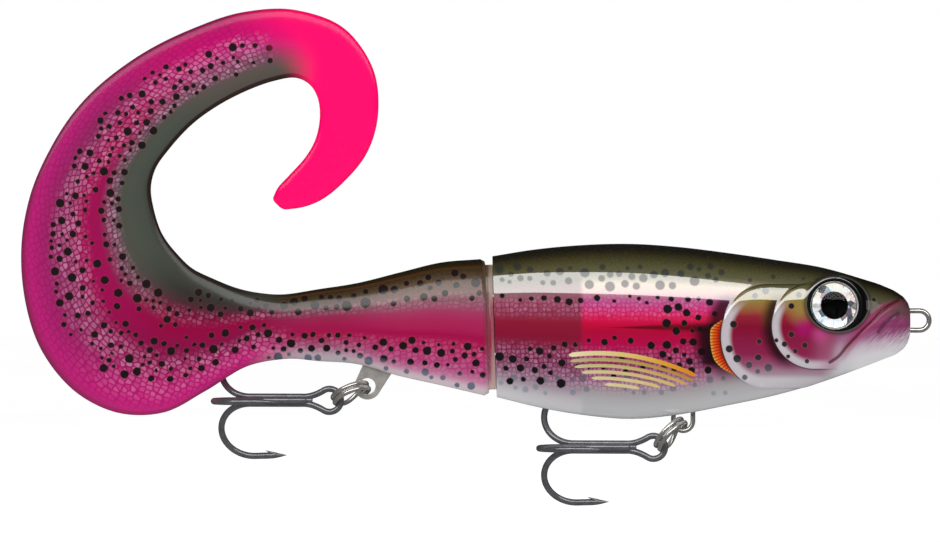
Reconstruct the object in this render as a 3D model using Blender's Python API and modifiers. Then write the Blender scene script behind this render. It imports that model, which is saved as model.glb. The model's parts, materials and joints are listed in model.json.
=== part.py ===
"""Jointed swimbait: a hollow two-shell front body and a soft curly tail on a hinge pin.

Sizes below are in millimetres and become metres as each shape is made. The origin is
the centre of the line tie's round end. +X runs out of the nose, +Z towards the back
of the fish, and +Y towards its left flank. A distance "behind" is measured along -X.
"""

import math

import bmesh
import bpy
import numpy as np
from mathutils import Matrix, Vector

MM = 0.001
OBJECT_NAME = "swimbait"

# Front body: distance behind the line tie, back, belly, half width.
BODY_STATIONS = (
    (1.87, 2.35, -2.75, 1.8),
    (2.05, 2.9, -3.5, 2.4),
    (2.7, 4.0, -4.8, 3.3),
    (4.0, 5.1, -6.0, 4.3),
    (6.6, 6.4, -7.15, 5.4),
    (11.1, 7.9, -8.9, 6.6),
    (17.8, 9.8, -11.3, 7.8),
    (26.8, 11.3, -13.9, 8.6),
    (35.7, 12.6, -15.8, 9.0),
    (44.7, 13.7, -17.5, 9.0),
    (53.7, 14.3, -18.35, 8.8),
    (62.6, 14.1, -17.65, 8.1),
    (71.6, 13.25, -16.15, 6.9),
    (79.33, 12.0, -14.3, 5.8),
)
BODY_POWER = 2.4
BODY_SLICES = 30
BODY_SIDE_POINTS = 14
WALL = 1.2
SEAM_GAP = 0.1
LEAN_START = 60.0
REAR = BODY_STATIONS[-1][0]

# Tail hinge: the pin stands inside the front body's open rear cup.
HINGE_BEHIND = 77.73
REAR_LEAN = 0.0316
PIN_RADIUS = 1.0
PIN_BOTTOM = -10.0
PIN_TOP = 8.4
PIN_END_PLAY = 0.2
PIN_BORE = 1.05
KNUCKLE_BORE = 1.08
KNUCKLE_RADIUS = 1.8
BOSS_RADIUS = 1.65
KNUCKLE_BOTTOM = -6.0
KNUCKLE_TOP = 4.5
BOSS_GAP = 0.3
BOSS_END = 1.0
WEB_HALF = 1.4
BULKHEAD_FRONT = 7.2
BULKHEAD_BACK = 6.0

# Tail coupling, behind the pin in the hinge's frame.
NECK_HALF = 1.4
FLANGE_FRONT = -1.75
FLANGE_BACK = -2.95
FLANGE_HALF = 3.6
FLANGE_BOTTOM = -12.8
FLANGE_TOP = 10.5
PLUG_BACK = -12.0
PLUG_HALF = 2.4
PLUG_BOTTOM = -7.0
PLUG_TOP = 6.0
SLOT_FRONT = -5.0
SLOT_HALF = 0.62
RIVET_BEHIND = -8.5
RIVET_SPREAD = 4.0
RIVET_RADIUS = 0.75
RIVET_HOLE = 0.85
PART_GAP = 0.15

# Soft tail: points of the inner and outer edge as (behind, up), the half thickness,
# and how square the section is.
TAIL_ROWS = (
    ((89.5, 10.8), (89.5, -12.05), 5.6, 2.4),
    ((96.9, 9.0), (96.9, -10.4), 5.0, 2.4),
    ((105.2, 6.95), (105.2, -8.1), 4.1, 2.4),
    ((111.9, 5.9), (111.9, -7.6), 3.5, 2.5),
    ((118.6, 4.9), (118.6, -7.2), 3.0, 2.6),
    ((122.7, 5.1), (125.3, -8.5), 2.6, 2.9),
    ((127.5, 6.1), (133.3, -13.2), 2.3, 3.4),
    ((132.0, 7.9), (140.8, -17.1), 2.1, 3.8),
    ((135.8, 9.8), (149.2, -17.3), 1.9, 4.2),
    ((138.7, 12.6), (156.7, -13.9), 1.8, 4.4),
    ((141.4, 16.3), (163.4, -6.3), 1.7, 4.6),
    ((143.0, 21.2), (166.9, 3.8), 1.6, 4.6),
    ((143.4, 25.3), (167.5, 15.0), 1.6, 4.6),
    ((142.5, 28.5), (165.8, 23.8), 1.5, 4.6),
    ((140.2, 31.8), (162.0, 32.4), 1.5, 4.6),
    ((136.1, 36.3), (155.9, 41.1), 1.5, 4.6),
    ((131.1, 40.0), (146.6, 48.8), 1.5, 4.6),
    ((125.3, 43.0), (135.8, 54.4), 1.5, 4.6),
    ((120.5, 44.7), (125.9, 57.6), 1.5, 4.6),
    ((116.5, 45.3), (116.2, 57.9), 1.5, 4.6),
    ((113.9, 44.1), (107.6, 54.7), 1.5, 4.6),
    ((112.3, 41.5), (102.1, 47.3), 1.5, 4.6),
    ((111.9, 37.8), (101.0, 38.9), 1.5, 4.6),
    ((112.8, 33.6), (103.1, 31.3), 1.5, 4.4),
    ((114.8, 30.2), (107.5, 25.8), 1.4, 4.2),
    ((117.7, 27.0), (112.2, 22.2), 1.3, 4.0),
    ((119.9, 24.5), (115.8, 21.0), 1.2, 3.6),
    ((120.6, 23.0), (118.2, 20.7), 0.9, 3.0),
)
TAIL_FACE = -3.05
TAIL_FACE_EDGES = (11.1, -13.4)
TAIL_FACE_HALF = 4.4
TAIL_SHOULDER = -3.9
TAIL_SHOULDER_EDGES = (11.6, -13.88)
TAIL_SHOULDER_HALF = 5.8
TAIL_SLICES = 64
TAIL_RING_POINTS = 16

# Wire hardware.
LINE_TIE_RADIUS = 0.475
LINE_TIE_LOOP = 1.8
LINE_TIE_END = 8.5
HANGER_RADIUS = 0.45
HANGER_LOOP = 1.82
HANGER_CENTRE = (44.1, -18.75)
HANGER_TOP = -13.6
GROOVE_GAP = 0.1
PLATE_HALF = 0.5
PLATE_EYE = (103.0, -12.24)
PLATE_EYE_HOLE = 1.5
PLATE_EYE_RADIUS = 2.5
PLATE_TOP = ((84.0, 5.0), (96.0, 4.5), (111.0, 2.2), (111.5, -1.0), (105.8, -3.0), (103.7, -7.9))
PLATE_BELOW = ((98.35, -9.6), (97.3, -6.0), (84.0, -6.0))

RING_RADIUS = 3.4
RING_WIRE = 0.45
RING_PITCH = 1.0
RING_CROSS_AT = 90
RING_CROSS_HALF = 35
RING_STEP = 15
RING_TILT = 16.0
FRONT_RING_SLOPE = (-0.69, -0.724)
REAR_RING_SLOPE = (-0.92, -0.392)

HOOK_WIRE = 0.6
HOOK_EYE_RADIUS = 2.05
HOOK_EYE_AT = 0.45
HOOK_EYE_OPENING = 50
SHANK_START = 4.5
SHANK_END = 15.85
SHANK_OFFSET = 0.76
POINT_OFFSET = 12.3
POINT_TIP = (9.65, 12.1)
FRONT_HOOK_YAW = 174.0
REAR_HOOK_YAW = 175.0

# Eyes, rattle, foil and ballast.
EYE_CENTRE = (16.4, 7.6, 2.9)
EYE_YAW = 8.0
EYE_PITCH = 6.0
EYE_DISC_RADIUS = 4.4
EYE_POCKET_RADIUS = 4.6
EYE_POCKET_DEPTH = 1.0
EYE_BOSS = (5.9, 5.1)
RATTLE_FRONT = 22.5
RATTLE_BACK = 37.5
RATTLE_HEIGHT = -1.0
RATTLE_RADIUS = 3.0
RATTLE_BORE = 2.4
RATTLE_WALL = 0.6
RATTLE_BALL_RADIUS = 2.2
RATTLE_BALL_AT = 29.7
CRADLE_RADIUS = 3.15
FOIL_SPAN = (39.0, 61.5)
FOIL_EDGES = (-8.0, 9.0)
FOIL_THICKNESS = 0.25
FOIL_GAP = 0.25

SIDES = {"left": 1.0, "right": -1.0}


def clear_scene():
    for old in list(bpy.data.objects):
        bpy.data.objects.remove(old, do_unlink=True)


def make_collection(name):
    group = bpy.data.collections.new(name)
    bpy.context.scene.collection.children.link(group)
    return group


def make_material(name, colour, roughness, metallic):
    material = bpy.data.materials.new(name)
    material.use_nodes = True
    shader = material.node_tree.nodes["Principled BSDF"]
    shader.inputs["Base Color"].default_value = (*colour, 1.0)
    shader.inputs["Roughness"].default_value = roughness
    shader.inputs["Metallic"].default_value = metallic
    return material


def frame_at(behind, side=0.0, up=0.0):
    return Matrix.Translation(Vector((-behind, side, up)) * MM)


def hinge_frame():
    return frame_at(HINGE_BEHIND) @ Matrix.Rotation(-math.atan(REAR_LEAN), 4, "Y")


def point(x, y, z):
    return Vector((x, y, z)) * MM


def through(stations, at):
    """Values of a smooth curve through the stations, whose first column is the place."""
    table = np.array(stations, dtype=float)
    places, values = table[:, 0], table[:, 1:]
    slopes = np.gradient(values, places, axis=0)
    at = np.clip(np.asarray(at, dtype=float), places[0], places[-1])
    i = np.clip(np.searchsorted(places, at) - 1, 0, len(places) - 2)
    step = (places[i + 1] - places[i])[:, None]
    t = (at - places[i])[:, None] / step
    rising = t * t * (3 - 2 * t)
    start = t * (1 - t) ** 2 * step
    finish = t * t * (t - 1) * step
    return values[i] * (1 - rising) + values[i + 1] * rising + slopes[i] * start + slopes[i + 1] * finish


def body_profile(behind):
    back, belly, half = through(BODY_STATIONS, [behind])[0]
    return back, belly, half


def rounded(angle, power):
    """One point of a superellipse of half size 1, at an angle in radians."""
    c, s = math.cos(angle), math.sin(angle)
    across = math.copysign(abs(c) ** (2 / power), c)
    up = math.copysign(abs(s) ** (2 / power), s)
    return across, up


def leaned(behind, up):
    """X of a body point: the rear face leans with the hinge pin."""
    t = min(max((behind - LEAN_START) / (REAR - LEAN_START), 0.0), 1.0)
    return -behind - REAR_LEAN * t * t * (3 - 2 * t) * up


class Workshop:
    """Holds the collections and makes the objects in them."""

    def __init__(self):
        self.parts = make_collection(OBJECT_NAME)
        self.cutters = make_collection(OBJECT_NAME + "_cutters")

    def empty(self, name, matrix):
        guide = bpy.data.objects.new(name, None)
        guide.matrix_world = matrix
        self.parts.objects.link(guide)
        return guide

    def place(self, piece, finish=None, parent=None, matrix=None):
        """Link a piece, or a cutter where no finish is given, and put it in its place."""
        if finish is None:
            self.cutters.objects.link(piece)
            piece.hide_render = True
            piece.display_type = "WIRE"
        else:
            self.parts.objects.link(piece)
            piece.data.materials.append(make_material(piece.name, *finish))
        if parent is not None:
            piece.parent = parent
        if matrix is not None:
            piece.matrix_local = matrix
        return piece

    def solid(self, name, shape, finish=None, parent=None, matrix=None):
        """An object from a bmesh, with faces out, smooth but for its real edges."""
        bmesh.ops.recalc_face_normals(shape, faces=shape.faces)
        mesh = bpy.data.meshes.new(name)
        shape.to_mesh(mesh)
        shape.free()
        mesh.shade_smooth()
        mesh.set_sharp_from_angle(angle=math.radians(40))
        return self.place(bpy.data.objects.new(name, mesh), finish, parent, matrix)

    def box(self, name, low, high, finish=None, parent=None, round_by=0.0):
        shape = bmesh.new()
        bmesh.ops.create_cube(shape, size=1.0)
        low, high = point(*low), point(*high)
        for corner in shape.verts:
            for axis in range(3):
                corner.co[axis] = low[axis] + (corner.co[axis] + 0.5) * (high[axis] - low[axis])
        piece = self.solid(name, shape, finish, parent)
        if round_by:
            edge = piece.modifiers.new("rounded", "BEVEL")
            edge.width = round_by * MM
            edge.segments = 2
        return piece

    def rod(self, name, radii, length, matrix, finish=None, parent=None, sides=24):
        """A cylinder or cone along its own Z, from z = 0 up to its length."""
        shape = bmesh.new()
        bmesh.ops.create_cone(
            shape,
            cap_ends=True,
            segments=sides,
            radius1=radii[0] * MM,
            radius2=radii[1] * MM,
            depth=length * MM,
            matrix=matrix @ Matrix.Translation((0, 0, length * MM / 2)),
        )
        return self.solid(name, shape, finish, parent)

    def turned(self, name, profile, matrix, finish, parent=None, steps=24):
        """A profile of (radius, height) turned about its own Z, listed from top to bottom."""
        mesh = bpy.data.meshes.new(name)
        corners = [(radius * MM, 0.0, height * MM) for radius, height in profile]
        edges = [(i, i + 1) for i in range(len(corners) - 1)]
        mesh.from_pydata(corners, edges, [])
        piece = self.place(bpy.data.objects.new(name, mesh), finish, parent, matrix)
        screw = piece.modifiers.new("turned", "SCREW")
        screw.axis = "Z"
        screw.steps = steps
        screw.render_steps = steps
        screw.use_merge_vertices = True
        screw.merge_threshold = 0.000005
        screw.use_smooth_shade = True
        return piece

    def loft(self, name, rings, finish=None, parent=None):
        """Skin a list of closed rings that all have the same number of points."""
        shape = bmesh.new()
        rows = [[shape.verts.new(co) for co in ring] for ring in rings]
        count = len(rows[0])
        for near, far in zip(rows, rows[1:]):
            for i in range(count):
                j = (i + 1) % count
                shape.faces.new((near[i], near[j], far[j], far[i]))
        shape.faces.new(rows[0])
        shape.faces.new(list(reversed(rows[-1])))
        return self.solid(name, shape, finish, parent)

    def wire(self, name, path, radius, finish=None, parent=None, matrix=None):
        """A round wire along (x, y, z, relative radius) points, all in millimetres."""
        curve = bpy.data.curves.new(name, "CURVE")
        curve.dimensions = "3D"
        curve.bevel_depth = radius * MM
        curve.bevel_resolution = 2
        curve.use_fill_caps = True
        spline = curve.splines.new("POLY")
        spline.points.add(len(path) - 1)
        for knot, (x, y, z, scale) in zip(spline.points, path):
            knot.co = (*point(x, y, z), 1.0)
            knot.radius = scale
        return self.place(bpy.data.objects.new(name, curve), finish, parent, matrix)

    def outline(self, name, loops, half, grow=0.0, finish=None):
        """A flat plate in the fish's middle plane, from closed loops of (behind, up)."""
        curve = bpy.data.curves.new(name, "CURVE")
        curve.dimensions = "2D"
        curve.fill_mode = "BOTH"
        curve.extrude = half * MM
        curve.bevel_depth = grow * MM
        curve.bevel_resolution = 0
        for loop in loops:
            spline = curve.splines.new("POLY")
            spline.points.add(len(loop) - 1)
            spline.use_cyclic_u = True
            for knot, (behind, up) in zip(spline.points, loop):
                knot.co = (-behind * MM, up * MM, 0.0, 1.0)
        upright = Matrix.Rotation(math.radians(90), 4, "X")
        return self.place(bpy.data.objects.new(name, curve), finish, matrix=upright)

    def meshed(self, curved):
        """Turn a curve object into a mesh object, with its caps welded on."""
        view = bpy.context.evaluated_depsgraph_get()
        mesh = bpy.data.meshes.new_from_object(curved.evaluated_get(view))
        shape = bmesh.new()
        shape.from_mesh(mesh)
        bmesh.ops.remove_doubles(shape, verts=shape.verts, dist=0.000002)
        bmesh.ops.recalc_face_normals(shape, faces=shape.faces)
        shape.to_mesh(mesh)
        shape.free()
        name = curved.name
        finished = not curved.hide_render
        piece = bpy.data.objects.new(name + "_mesh", mesh)
        home = self.parts if finished else self.cutters
        home.objects.link(piece)
        piece.matrix_world = curved.matrix_world.copy()
        piece.hide_render = curved.hide_render
        piece.display_type = curved.display_type
        bpy.data.objects.remove(curved, do_unlink=True)
        piece.name = name
        return piece


def combine(piece, tool, operation="DIFFERENCE"):
    change = piece.modifiers.new(tool.name, "BOOLEAN")
    change.operation = operation
    change.solver = "EXACT"
    change.object = tool
    return change


def half_ring(behind, side, inset=0.0, seam=SEAM_GAP, shift=0.0):
    """A D-shaped ring of one flank; the inset ring is read a little further forward."""
    back, belly, half = body_profile(behind - shift)
    middle = (back + belly) / 2
    tall = (back - belly) / 2 - inset
    ring = []
    for i in range(BODY_SIDE_POINTS + 1):
        across, up = rounded(-math.pi / 2 + math.pi * i / BODY_SIDE_POINTS, BODY_POWER)
        z = middle + tall * up
        out = seam if i in (0, BODY_SIDE_POINTS) else (half - inset) * across
        ring.append(point(leaned(behind, z), side * out, z))
    return ring


def nose_to_rear(first, last, count, crowding):
    """Places from the nose backwards, closer together at the nose."""
    return [first + (last - first) * (i / count) ** crowding for i in range(count + 1)]


def eye_frame(side):
    behind, out, up = EYE_CENTRE
    yaw, pitch = math.radians(EYE_YAW), math.radians(EYE_PITCH)
    facing = Vector((math.sin(yaw), side * math.cos(yaw) * math.cos(pitch), math.sin(pitch)))
    turn = facing.to_track_quat("Z", "Y").to_matrix().to_4x4()
    return frame_at(behind, side * out, up) @ turn


def lengthwise(behind, up):
    """A frame whose Z runs backwards along the body."""
    return frame_at(behind, 0.0, up) @ Matrix.Rotation(math.radians(-90), 4, "Y")


def make_blocks(shop, tag, side, hinge):
    """What stays solid inside a shell half: bosses, bulkhead, blocks and ribs."""
    top = KNUCKLE_TOP + BOSS_GAP
    low = KNUCKLE_BOTTOM - BOSS_GAP
    over, under = PIN_TOP + BOSS_END, PIN_BOTTOM - 1.2
    web, web_front = WEB_HALF, BULKHEAD_FRONT - 0.5
    blocks = [
        shop.box(tag + "_bulkhead", (BULKHEAD_BACK, -10, -20), (BULKHEAD_FRONT, 10, 20), parent=hinge),
        shop.box(tag + "_upper_web", (0, -web, top + 0.3), (web_front, web, over - 0.3), parent=hinge),
        shop.box(tag + "_lower_web", (0, -web, under + 0.3), (web_front, web, low - 0.3), parent=hinge),
        shop.box(tag + "_nose_block", (-10.5, -2.6, -3.6), (-3.0, 2.6, 3.6)),
        shop.box(tag + "_belly_block", (-48.5, -2.6, -19.0), (-39.5, 2.6, -12.3)),
        shop.box(tag + "_ballast_stop", (-67.0, -9, -20.0), (-65.8, 9, -8.0)),
        shop.box(tag + "_front_cradle", (-25.6, -9, -5.5), (-24.4, 9, 3.5)),
        shop.box(tag + "_rear_cradle", (-35.6, -9, -5.5), (-34.4, 9, 3.5)),
    ]
    for name, start, end in (("upper", top, over), ("lower", under, low)):
        up = Matrix.Translation((0, 0, start * MM))
        boss = (BOSS_RADIUS, BOSS_RADIUS)
        blocks.append(shop.rod(f"{tag}_{name}_boss", boss, end - start, up, parent=hinge))
    backing = eye_frame(side) @ Matrix.Translation((0, 0, -2.8 * MM))
    blocks.append(shop.rod(tag + "_eye_backing", (5.6, 5.6), 2.6, backing))
    return blocks


def make_shell(shop, name, side, hinge, grooves):
    tag = "cut_" + name
    places = nose_to_rear(BODY_STATIONS[0][0], REAR, BODY_SLICES, 1.45)
    rings = [half_ring(d, side) for d in places]
    shell = shop.loft(name, rings, finish=((0.55, 0.1, 0.2), 0.15, 0.1))

    hollow = [half_ring(d, side, WALL, seam=-1.0, shift=1.5) for d in nose_to_rear(7.0, REAR, 16, 1.2)]
    hollow.append([p + point(-1.5, 0, 0) for p in hollow[-1]])
    cavity = shop.loft(tag + "_cavity", hollow)
    for block in make_blocks(shop, tag, side, hinge):
        combine(cavity, block)

    eye = eye_frame(side)
    deep = eye @ Matrix.Translation((0, 0, -2.4 * MM))
    boss = shop.rod(tag + "_eye_boss", EYE_BOSS, 2.4, deep, sides=32)
    floor = eye @ Matrix.Translation((0, 0, -EYE_POCKET_DEPTH * MM))
    pocket = shop.rod(tag + "_eye_pocket", (EYE_POCKET_RADIUS, EYE_POCKET_RADIUS), 3.0, floor, sides=32)

    combine(shell, boss, "UNION")
    combine(shell, cavity)
    combine(shell, pocket)
    for groove in grooves:
        combine(shell, groove)


def make_shells(shop, hinge):
    start = Matrix.Translation((0, 0, (PIN_BOTTOM - PIN_END_PLAY) * MM))
    bore_length = PIN_TOP - PIN_BOTTOM + 2 * PIN_END_PLAY
    bore = shop.rod("cut_pin_bore", (PIN_BORE, PIN_BORE), bore_length, start, parent=hinge)
    cradle_from = lengthwise(RATTLE_FRONT - 1.0, RATTLE_HEIGHT)
    length = RATTLE_BACK - RATTLE_FRONT + 3.0
    cradle = shop.rod("cut_cradle", (CRADLE_RADIUS, CRADLE_RADIUS), length, cradle_from)
    tie = shop.meshed(shop.wire("cut_line_tie", line_tie_path(), LINE_TIE_RADIUS + GROOVE_GAP))
    hanger = shop.meshed(shop.wire("cut_hanger", hanger_path(), HANGER_RADIUS + GROOVE_GAP))
    for side_name, side in SIDES.items():
        make_shell(shop, "body_shell_" + side_name, side, hinge, (bore, cradle, tie, hanger))


def arc(centre, radius, start, end, steps):
    """Points (across, up) of an arc from one angle to another, in degrees."""
    points = []
    for i in range(steps + 1):
        angle = math.radians(start + (end - start) * i / steps)
        points.append((centre[0] + radius * math.cos(angle), centre[1] + radius * math.sin(angle)))
    return points


def flat_path(points):
    """A wire path in the middle plane, from (x, z) points."""
    return [(x, 0.0, z, 1.0) for x, z in points]


def line_tie_path():
    loop, end = LINE_TIE_LOOP, -LINE_TIE_END
    upper = [(end - 0.6, loop + 1.3), (end - 0.25, loop + 0.4), (end + 0.4, loop)]
    lower = [(x, -z) for x, z in reversed(upper)]
    return flat_path(upper + arc((0.0, 0.0), loop, 90, -90, 12) + lower)


def hanger_path():
    x, z = -HANGER_CENTRE[0], HANGER_CENTRE[1]
    loop, top = HANGER_LOOP, HANGER_TOP
    front = [(x + loop + 1.4, top + 0.4), (x + loop + 0.4, top + 0.15), (x + loop, top - 0.5)]
    rear = [(2 * x - px, pz) for px, pz in reversed(front)]
    return flat_path(front + arc((x, z), loop, 0, -180, 12) + rear)


def make_wire_hardware(shop):
    steel = ((0.72, 0.72, 0.74), 0.22, 1.0)
    shop.wire("line_tie", line_tie_path(), LINE_TIE_RADIUS, steel)
    shop.wire("belly_hook_hanger", hanger_path(), HANGER_RADIUS, steel)


def make_eyes(shop):
    dome = [(0.0, 1.25)]
    dome += [(4.5 * math.sin(math.radians(a)), 1.25 * math.cos(math.radians(a))) for a in range(15, 90, 15)]
    dome += [(4.5, 0.0), (4.5, -0.36), (0.0, -0.36)]
    disc = [(0.0, -0.48), (EYE_DISC_RADIUS, -0.48), (EYE_DISC_RADIUS, -0.88), (0.0, -0.88)]
    for side_name, side in SIDES.items():
        frame = eye_frame(side)
        shop.turned("eye_lens_" + side_name, dome, frame, ((0.9, 0.9, 0.92), 0.03, 0.0), steps=28)
        shop.turned("eye_disc_" + side_name, disc, frame, ((0.75, 0.75, 0.7), 0.25, 0.7), steps=28)


def inner_wall(behind, up):
    """Half width of a shell's inner face at a height."""
    back, belly, half = body_profile(behind - 1.5)
    middle = (back + belly) / 2
    tall = (back - belly) / 2 - WALL
    rise = min(abs(up - middle) / tall, 1.0)
    return (half - WALL) * (1 - rise**BODY_POWER) ** (1 / BODY_POWER)


def make_foils(shop):
    for side_name, side in SIDES.items():
        shape = bmesh.new()
        across, tall = 9, 7
        grid = []
        for i in range(across + 1):
            behind = FOIL_SPAN[0] + (FOIL_SPAN[1] - FOIL_SPAN[0]) * i / across
            row = []
            for j in range(tall + 1):
                up = FOIL_EDGES[0] + (FOIL_EDGES[1] - FOIL_EDGES[0]) * j / tall
                row.append(shape.verts.new(point(-behind, side * (inner_wall(behind, up) - FOIL_GAP), up)))
            grid.append(row)
        for near, far in zip(grid, grid[1:]):
            for j in range(tall):
                shape.faces.new((near[j], near[j + 1], far[j + 1], far[j]))
        foil = shop.solid("foil_insert_" + side_name, shape, ((0.95, 0.25, 0.45), 0.2, 0.8))
        if foil.data.polygons[0].normal.y * side < 0:
            foil.data.flip_normals()
        sheet = foil.modifiers.new("thickness", "SOLIDIFY")
        sheet.thickness = FOIL_THICKNESS * MM
        sheet.offset = -1.0


def make_ballast(shop):
    lead = ((0.3, 0.31, 0.33), 0.5, 0.9)
    shop.box("belly_ballast", (-65.5, -3.6, -14.2), (-50.5, 3.6, -9.2), lead, round_by=0.8)
    shop.box("head_ballast", (-38.0, -3.4, -12.2), (-29.0, 3.4, -7.2), lead, round_by=0.8)


def make_rattle(shop):
    length = RATTLE_BACK - RATTLE_FRONT
    outer, bore, wall = RATTLE_RADIUS, RATTLE_BORE, RATTLE_WALL
    tube = [(0.0, wall), (bore, wall), (bore, length), (outer, length), (outer, 0.0), (0.0, 0.0)]
    tube.reverse()
    flipped = [(radius, -height) for radius, height in tube]
    clear = ((0.8, 0.82, 0.85), 0.1, 0.0)
    ahead = lengthwise(RATTLE_FRONT, RATTLE_HEIGHT) @ Matrix.Rotation(math.pi, 4, "X")
    shop.turned("rattle_tube", flipped, ahead, clear)
    plug = bore - PART_GAP
    cap = [(0.0, 1.2), (plug, 1.2), (plug, 0.0), (outer, 0.0), (outer, -wall), (0.0, -wall)]
    shop.turned("rattle_tube_cap", cap, ahead @ Matrix.Translation((0, 0, -(length + 0.1) * MM)), clear)
    shape = bmesh.new()
    bmesh.ops.create_uvsphere(
        shape,
        u_segments=16,
        v_segments=10,
        radius=RATTLE_BALL_RADIUS * MM,
    )
    ball = frame_at(RATTLE_BALL_AT, 0.0, RATTLE_HEIGHT)
    shop.solid("rattle_ball", shape, ((0.6, 0.6, 0.62), 0.15, 1.0), matrix=ball)


def make_pin(shop, hinge):
    start = Matrix.Translation((0, 0, PIN_BOTTOM * MM))
    brass = ((0.72, 0.72, 0.74), 0.2, 1.0)
    shop.rod("hinge_pin", (PIN_RADIUS, PIN_RADIUS), PIN_TOP - PIN_BOTTOM, start, brass, hinge)


def crosswise(behind, up, half):
    """A frame whose Z runs across the fish, from its right side."""
    return Matrix.Translation(point(behind, -half, up)) @ Matrix.Rotation(math.radians(-90), 4, "X")


def make_coupling(shop, hinge):
    barrel_at = Matrix.Translation((0, 0, KNUCKLE_BOTTOM * MM))
    tall = KNUCKLE_TOP - KNUCKLE_BOTTOM
    finish = ((0.62, 0.42, 0.42), 0.35, 0.0)
    coupling = shop.rod("tail_coupling", (KNUCKLE_RADIUS, KNUCKLE_RADIUS), tall, barrel_at, finish, hinge)
    neck = shop.box(
        "cut_neck",
        (FLANGE_BACK + 0.3, -NECK_HALF, KNUCKLE_BOTTOM + 0.01),
        (0.0, NECK_HALF, KNUCKLE_TOP - 0.01),
        parent=hinge,
    )
    middle = (FLANGE_TOP + FLANGE_BOTTOM) / 2
    half_tall = (FLANGE_TOP - FLANGE_BOTTOM) / 2
    rings = []
    for x in (FLANGE_FRONT, FLANGE_BACK):
        ring = []
        for i in range(36):
            across, up = rounded(2 * math.pi * i / 36, BODY_POWER)
            ring.append(point(x, FLANGE_HALF * across, middle + half_tall * up))
        rings.append(ring)
    flange = shop.loft("cut_flange", rings, parent=hinge)
    plug_low = (PLUG_BACK, -PLUG_HALF, PLUG_BOTTOM)
    plug_high = (FLANGE_BACK + 0.2, PLUG_HALF, PLUG_TOP)
    plug = shop.box("cut_plug", plug_low, plug_high, parent=hinge)
    for piece in (neck, flange, plug):
        combine(coupling, piece, "UNION")
    bore_from = Matrix.Translation((0, 0, (KNUCKLE_BOTTOM - 1) * MM))
    bore = shop.rod("cut_knuckle_bore", (KNUCKLE_BORE, KNUCKLE_BORE), tall + 2, bore_from, parent=hinge)
    slot_low = (PLUG_BACK - 1, -SLOT_HALF, PLUG_BOTTOM - 1)
    slot_high = (SLOT_FRONT, SLOT_HALF, PLUG_TOP + 1)
    slot = shop.box("cut_plate_slot", slot_low, slot_high, parent=hinge)
    combine(coupling, bore)
    combine(coupling, slot)
    for name, up in (("upper", RIVET_SPREAD), ("lower", -RIVET_SPREAD)):
        place = crosswise(RIVET_BEHIND, up, PLUG_HALF)
        rivet = (RIVET_RADIUS, RIVET_RADIUS)
        steel = ((0.65, 0.65, 0.66), 0.3, 1.0)
        shop.rod("harness_rivet_" + name, rivet, 2 * PLUG_HALF, place, steel, hinge, sides=16)
        wide = crosswise(RIVET_BEHIND, up, PLUG_HALF + 1)
        hole_radii = (RIVET_HOLE, RIVET_HOLE)
        hole = shop.rod(f"cut_rivet_{name}", hole_radii, 2 * PLUG_HALF + 2, wide, parent=hinge, sides=16)
        combine(coupling, hole)


def plate_outline():
    """The harness plate's edge: the arc is the round hook eye below the belly."""
    centre = (PLATE_EYE[0], PLATE_EYE[1])
    eye = arc(centre, PLATE_EYE_RADIUS, 10, -145, 12)
    return list(PLATE_TOP) + eye + list(PLATE_BELOW)


def make_harness(shop):
    loops = [plate_outline(), arc(PLATE_EYE, PLATE_EYE_HOLE, 0, 337.5, 15)]
    lean = hinge_frame()
    for up in (RIVET_SPREAD, -RIVET_SPREAD):
        centre = lean @ point(RIVET_BEHIND, 0.0, up) / MM
        loops.append(arc((-centre.x, centre.z), RIVET_HOLE, 0, 337.5, 15))
    shop.outline("harness_plate", loops, PLATE_HALF, finish=((0.66, 0.65, 0.62), 0.4, 1.0))


def tail_spine():
    """Rows of the soft tail as flat tuples: edges, half thickness and squareness."""
    lean = hinge_frame()
    rows = []
    fronts = (
        (TAIL_FACE, TAIL_FACE_EDGES, TAIL_FACE_HALF),
        (TAIL_SHOULDER, TAIL_SHOULDER_EDGES, TAIL_SHOULDER_HALF),
    )
    for local, edges, half in fronts:
        row = []
        for up in edges:
            edge = lean @ point(local, 0.0, up) / MM
            row += [-edge.x, edge.z]
        rows.append((*row, half, BODY_POWER))
    for inner, outer, half, power in TAIL_ROWS:
        rows.append((*inner, *outer, half, power))
    return rows


def tail_rings():
    rows = tail_spine()
    face, rest = rows[0], rows[1:]
    travel = [0.0]
    for near, far in zip(rest, rest[1:]):
        step = math.hypot(far[0] + far[2] - near[0] - near[2], far[1] + far[3] - near[1] - near[3]) / 2
        travel.append(travel[-1] + step)
    stations = [(place, *row) for place, row in zip(travel, rest)]
    places = np.linspace(0.0, travel[-1], TAIL_SLICES)
    slices = [face] + [tuple(row) for row in through(stations, places)]
    rings = []
    for inner_d, inner_z, outer_d, outer_z, half, power in slices:
        middle = Vector((-(inner_d + outer_d) / 2, 0.0, (inner_z + outer_z) / 2))
        reach = Vector((-(inner_d - outer_d) / 2, 0.0, (inner_z - outer_z) / 2))
        ring = []
        for i in range(TAIL_RING_POINTS):
            across, up = rounded(2 * math.pi * i / TAIL_RING_POINTS, power)
            ring.append((middle + reach * up + Vector((0.0, half * across, 0.0))) * MM)
        rings.append(ring)
    return rings


def make_soft_tail(shop, hinge):
    tail = shop.loft("soft_tail", tail_rings(), ((0.8, 0.12, 0.35), 0.3, 0.0))
    gap = PART_GAP
    pocket = shop.box(
        "cut_plug_pocket",
        (PLUG_BACK - gap, -PLUG_HALF - gap, PLUG_BOTTOM - gap),
        (TAIL_FACE + 2.0, PLUG_HALF + gap, PLUG_TOP + gap),
        parent=hinge,
    )
    plate = shop.meshed(shop.outline("cut_harness_plate", [plate_outline()], PLATE_HALF, grow=gap))
    combine(tail, pocket)
    combine(tail, plate)


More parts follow.
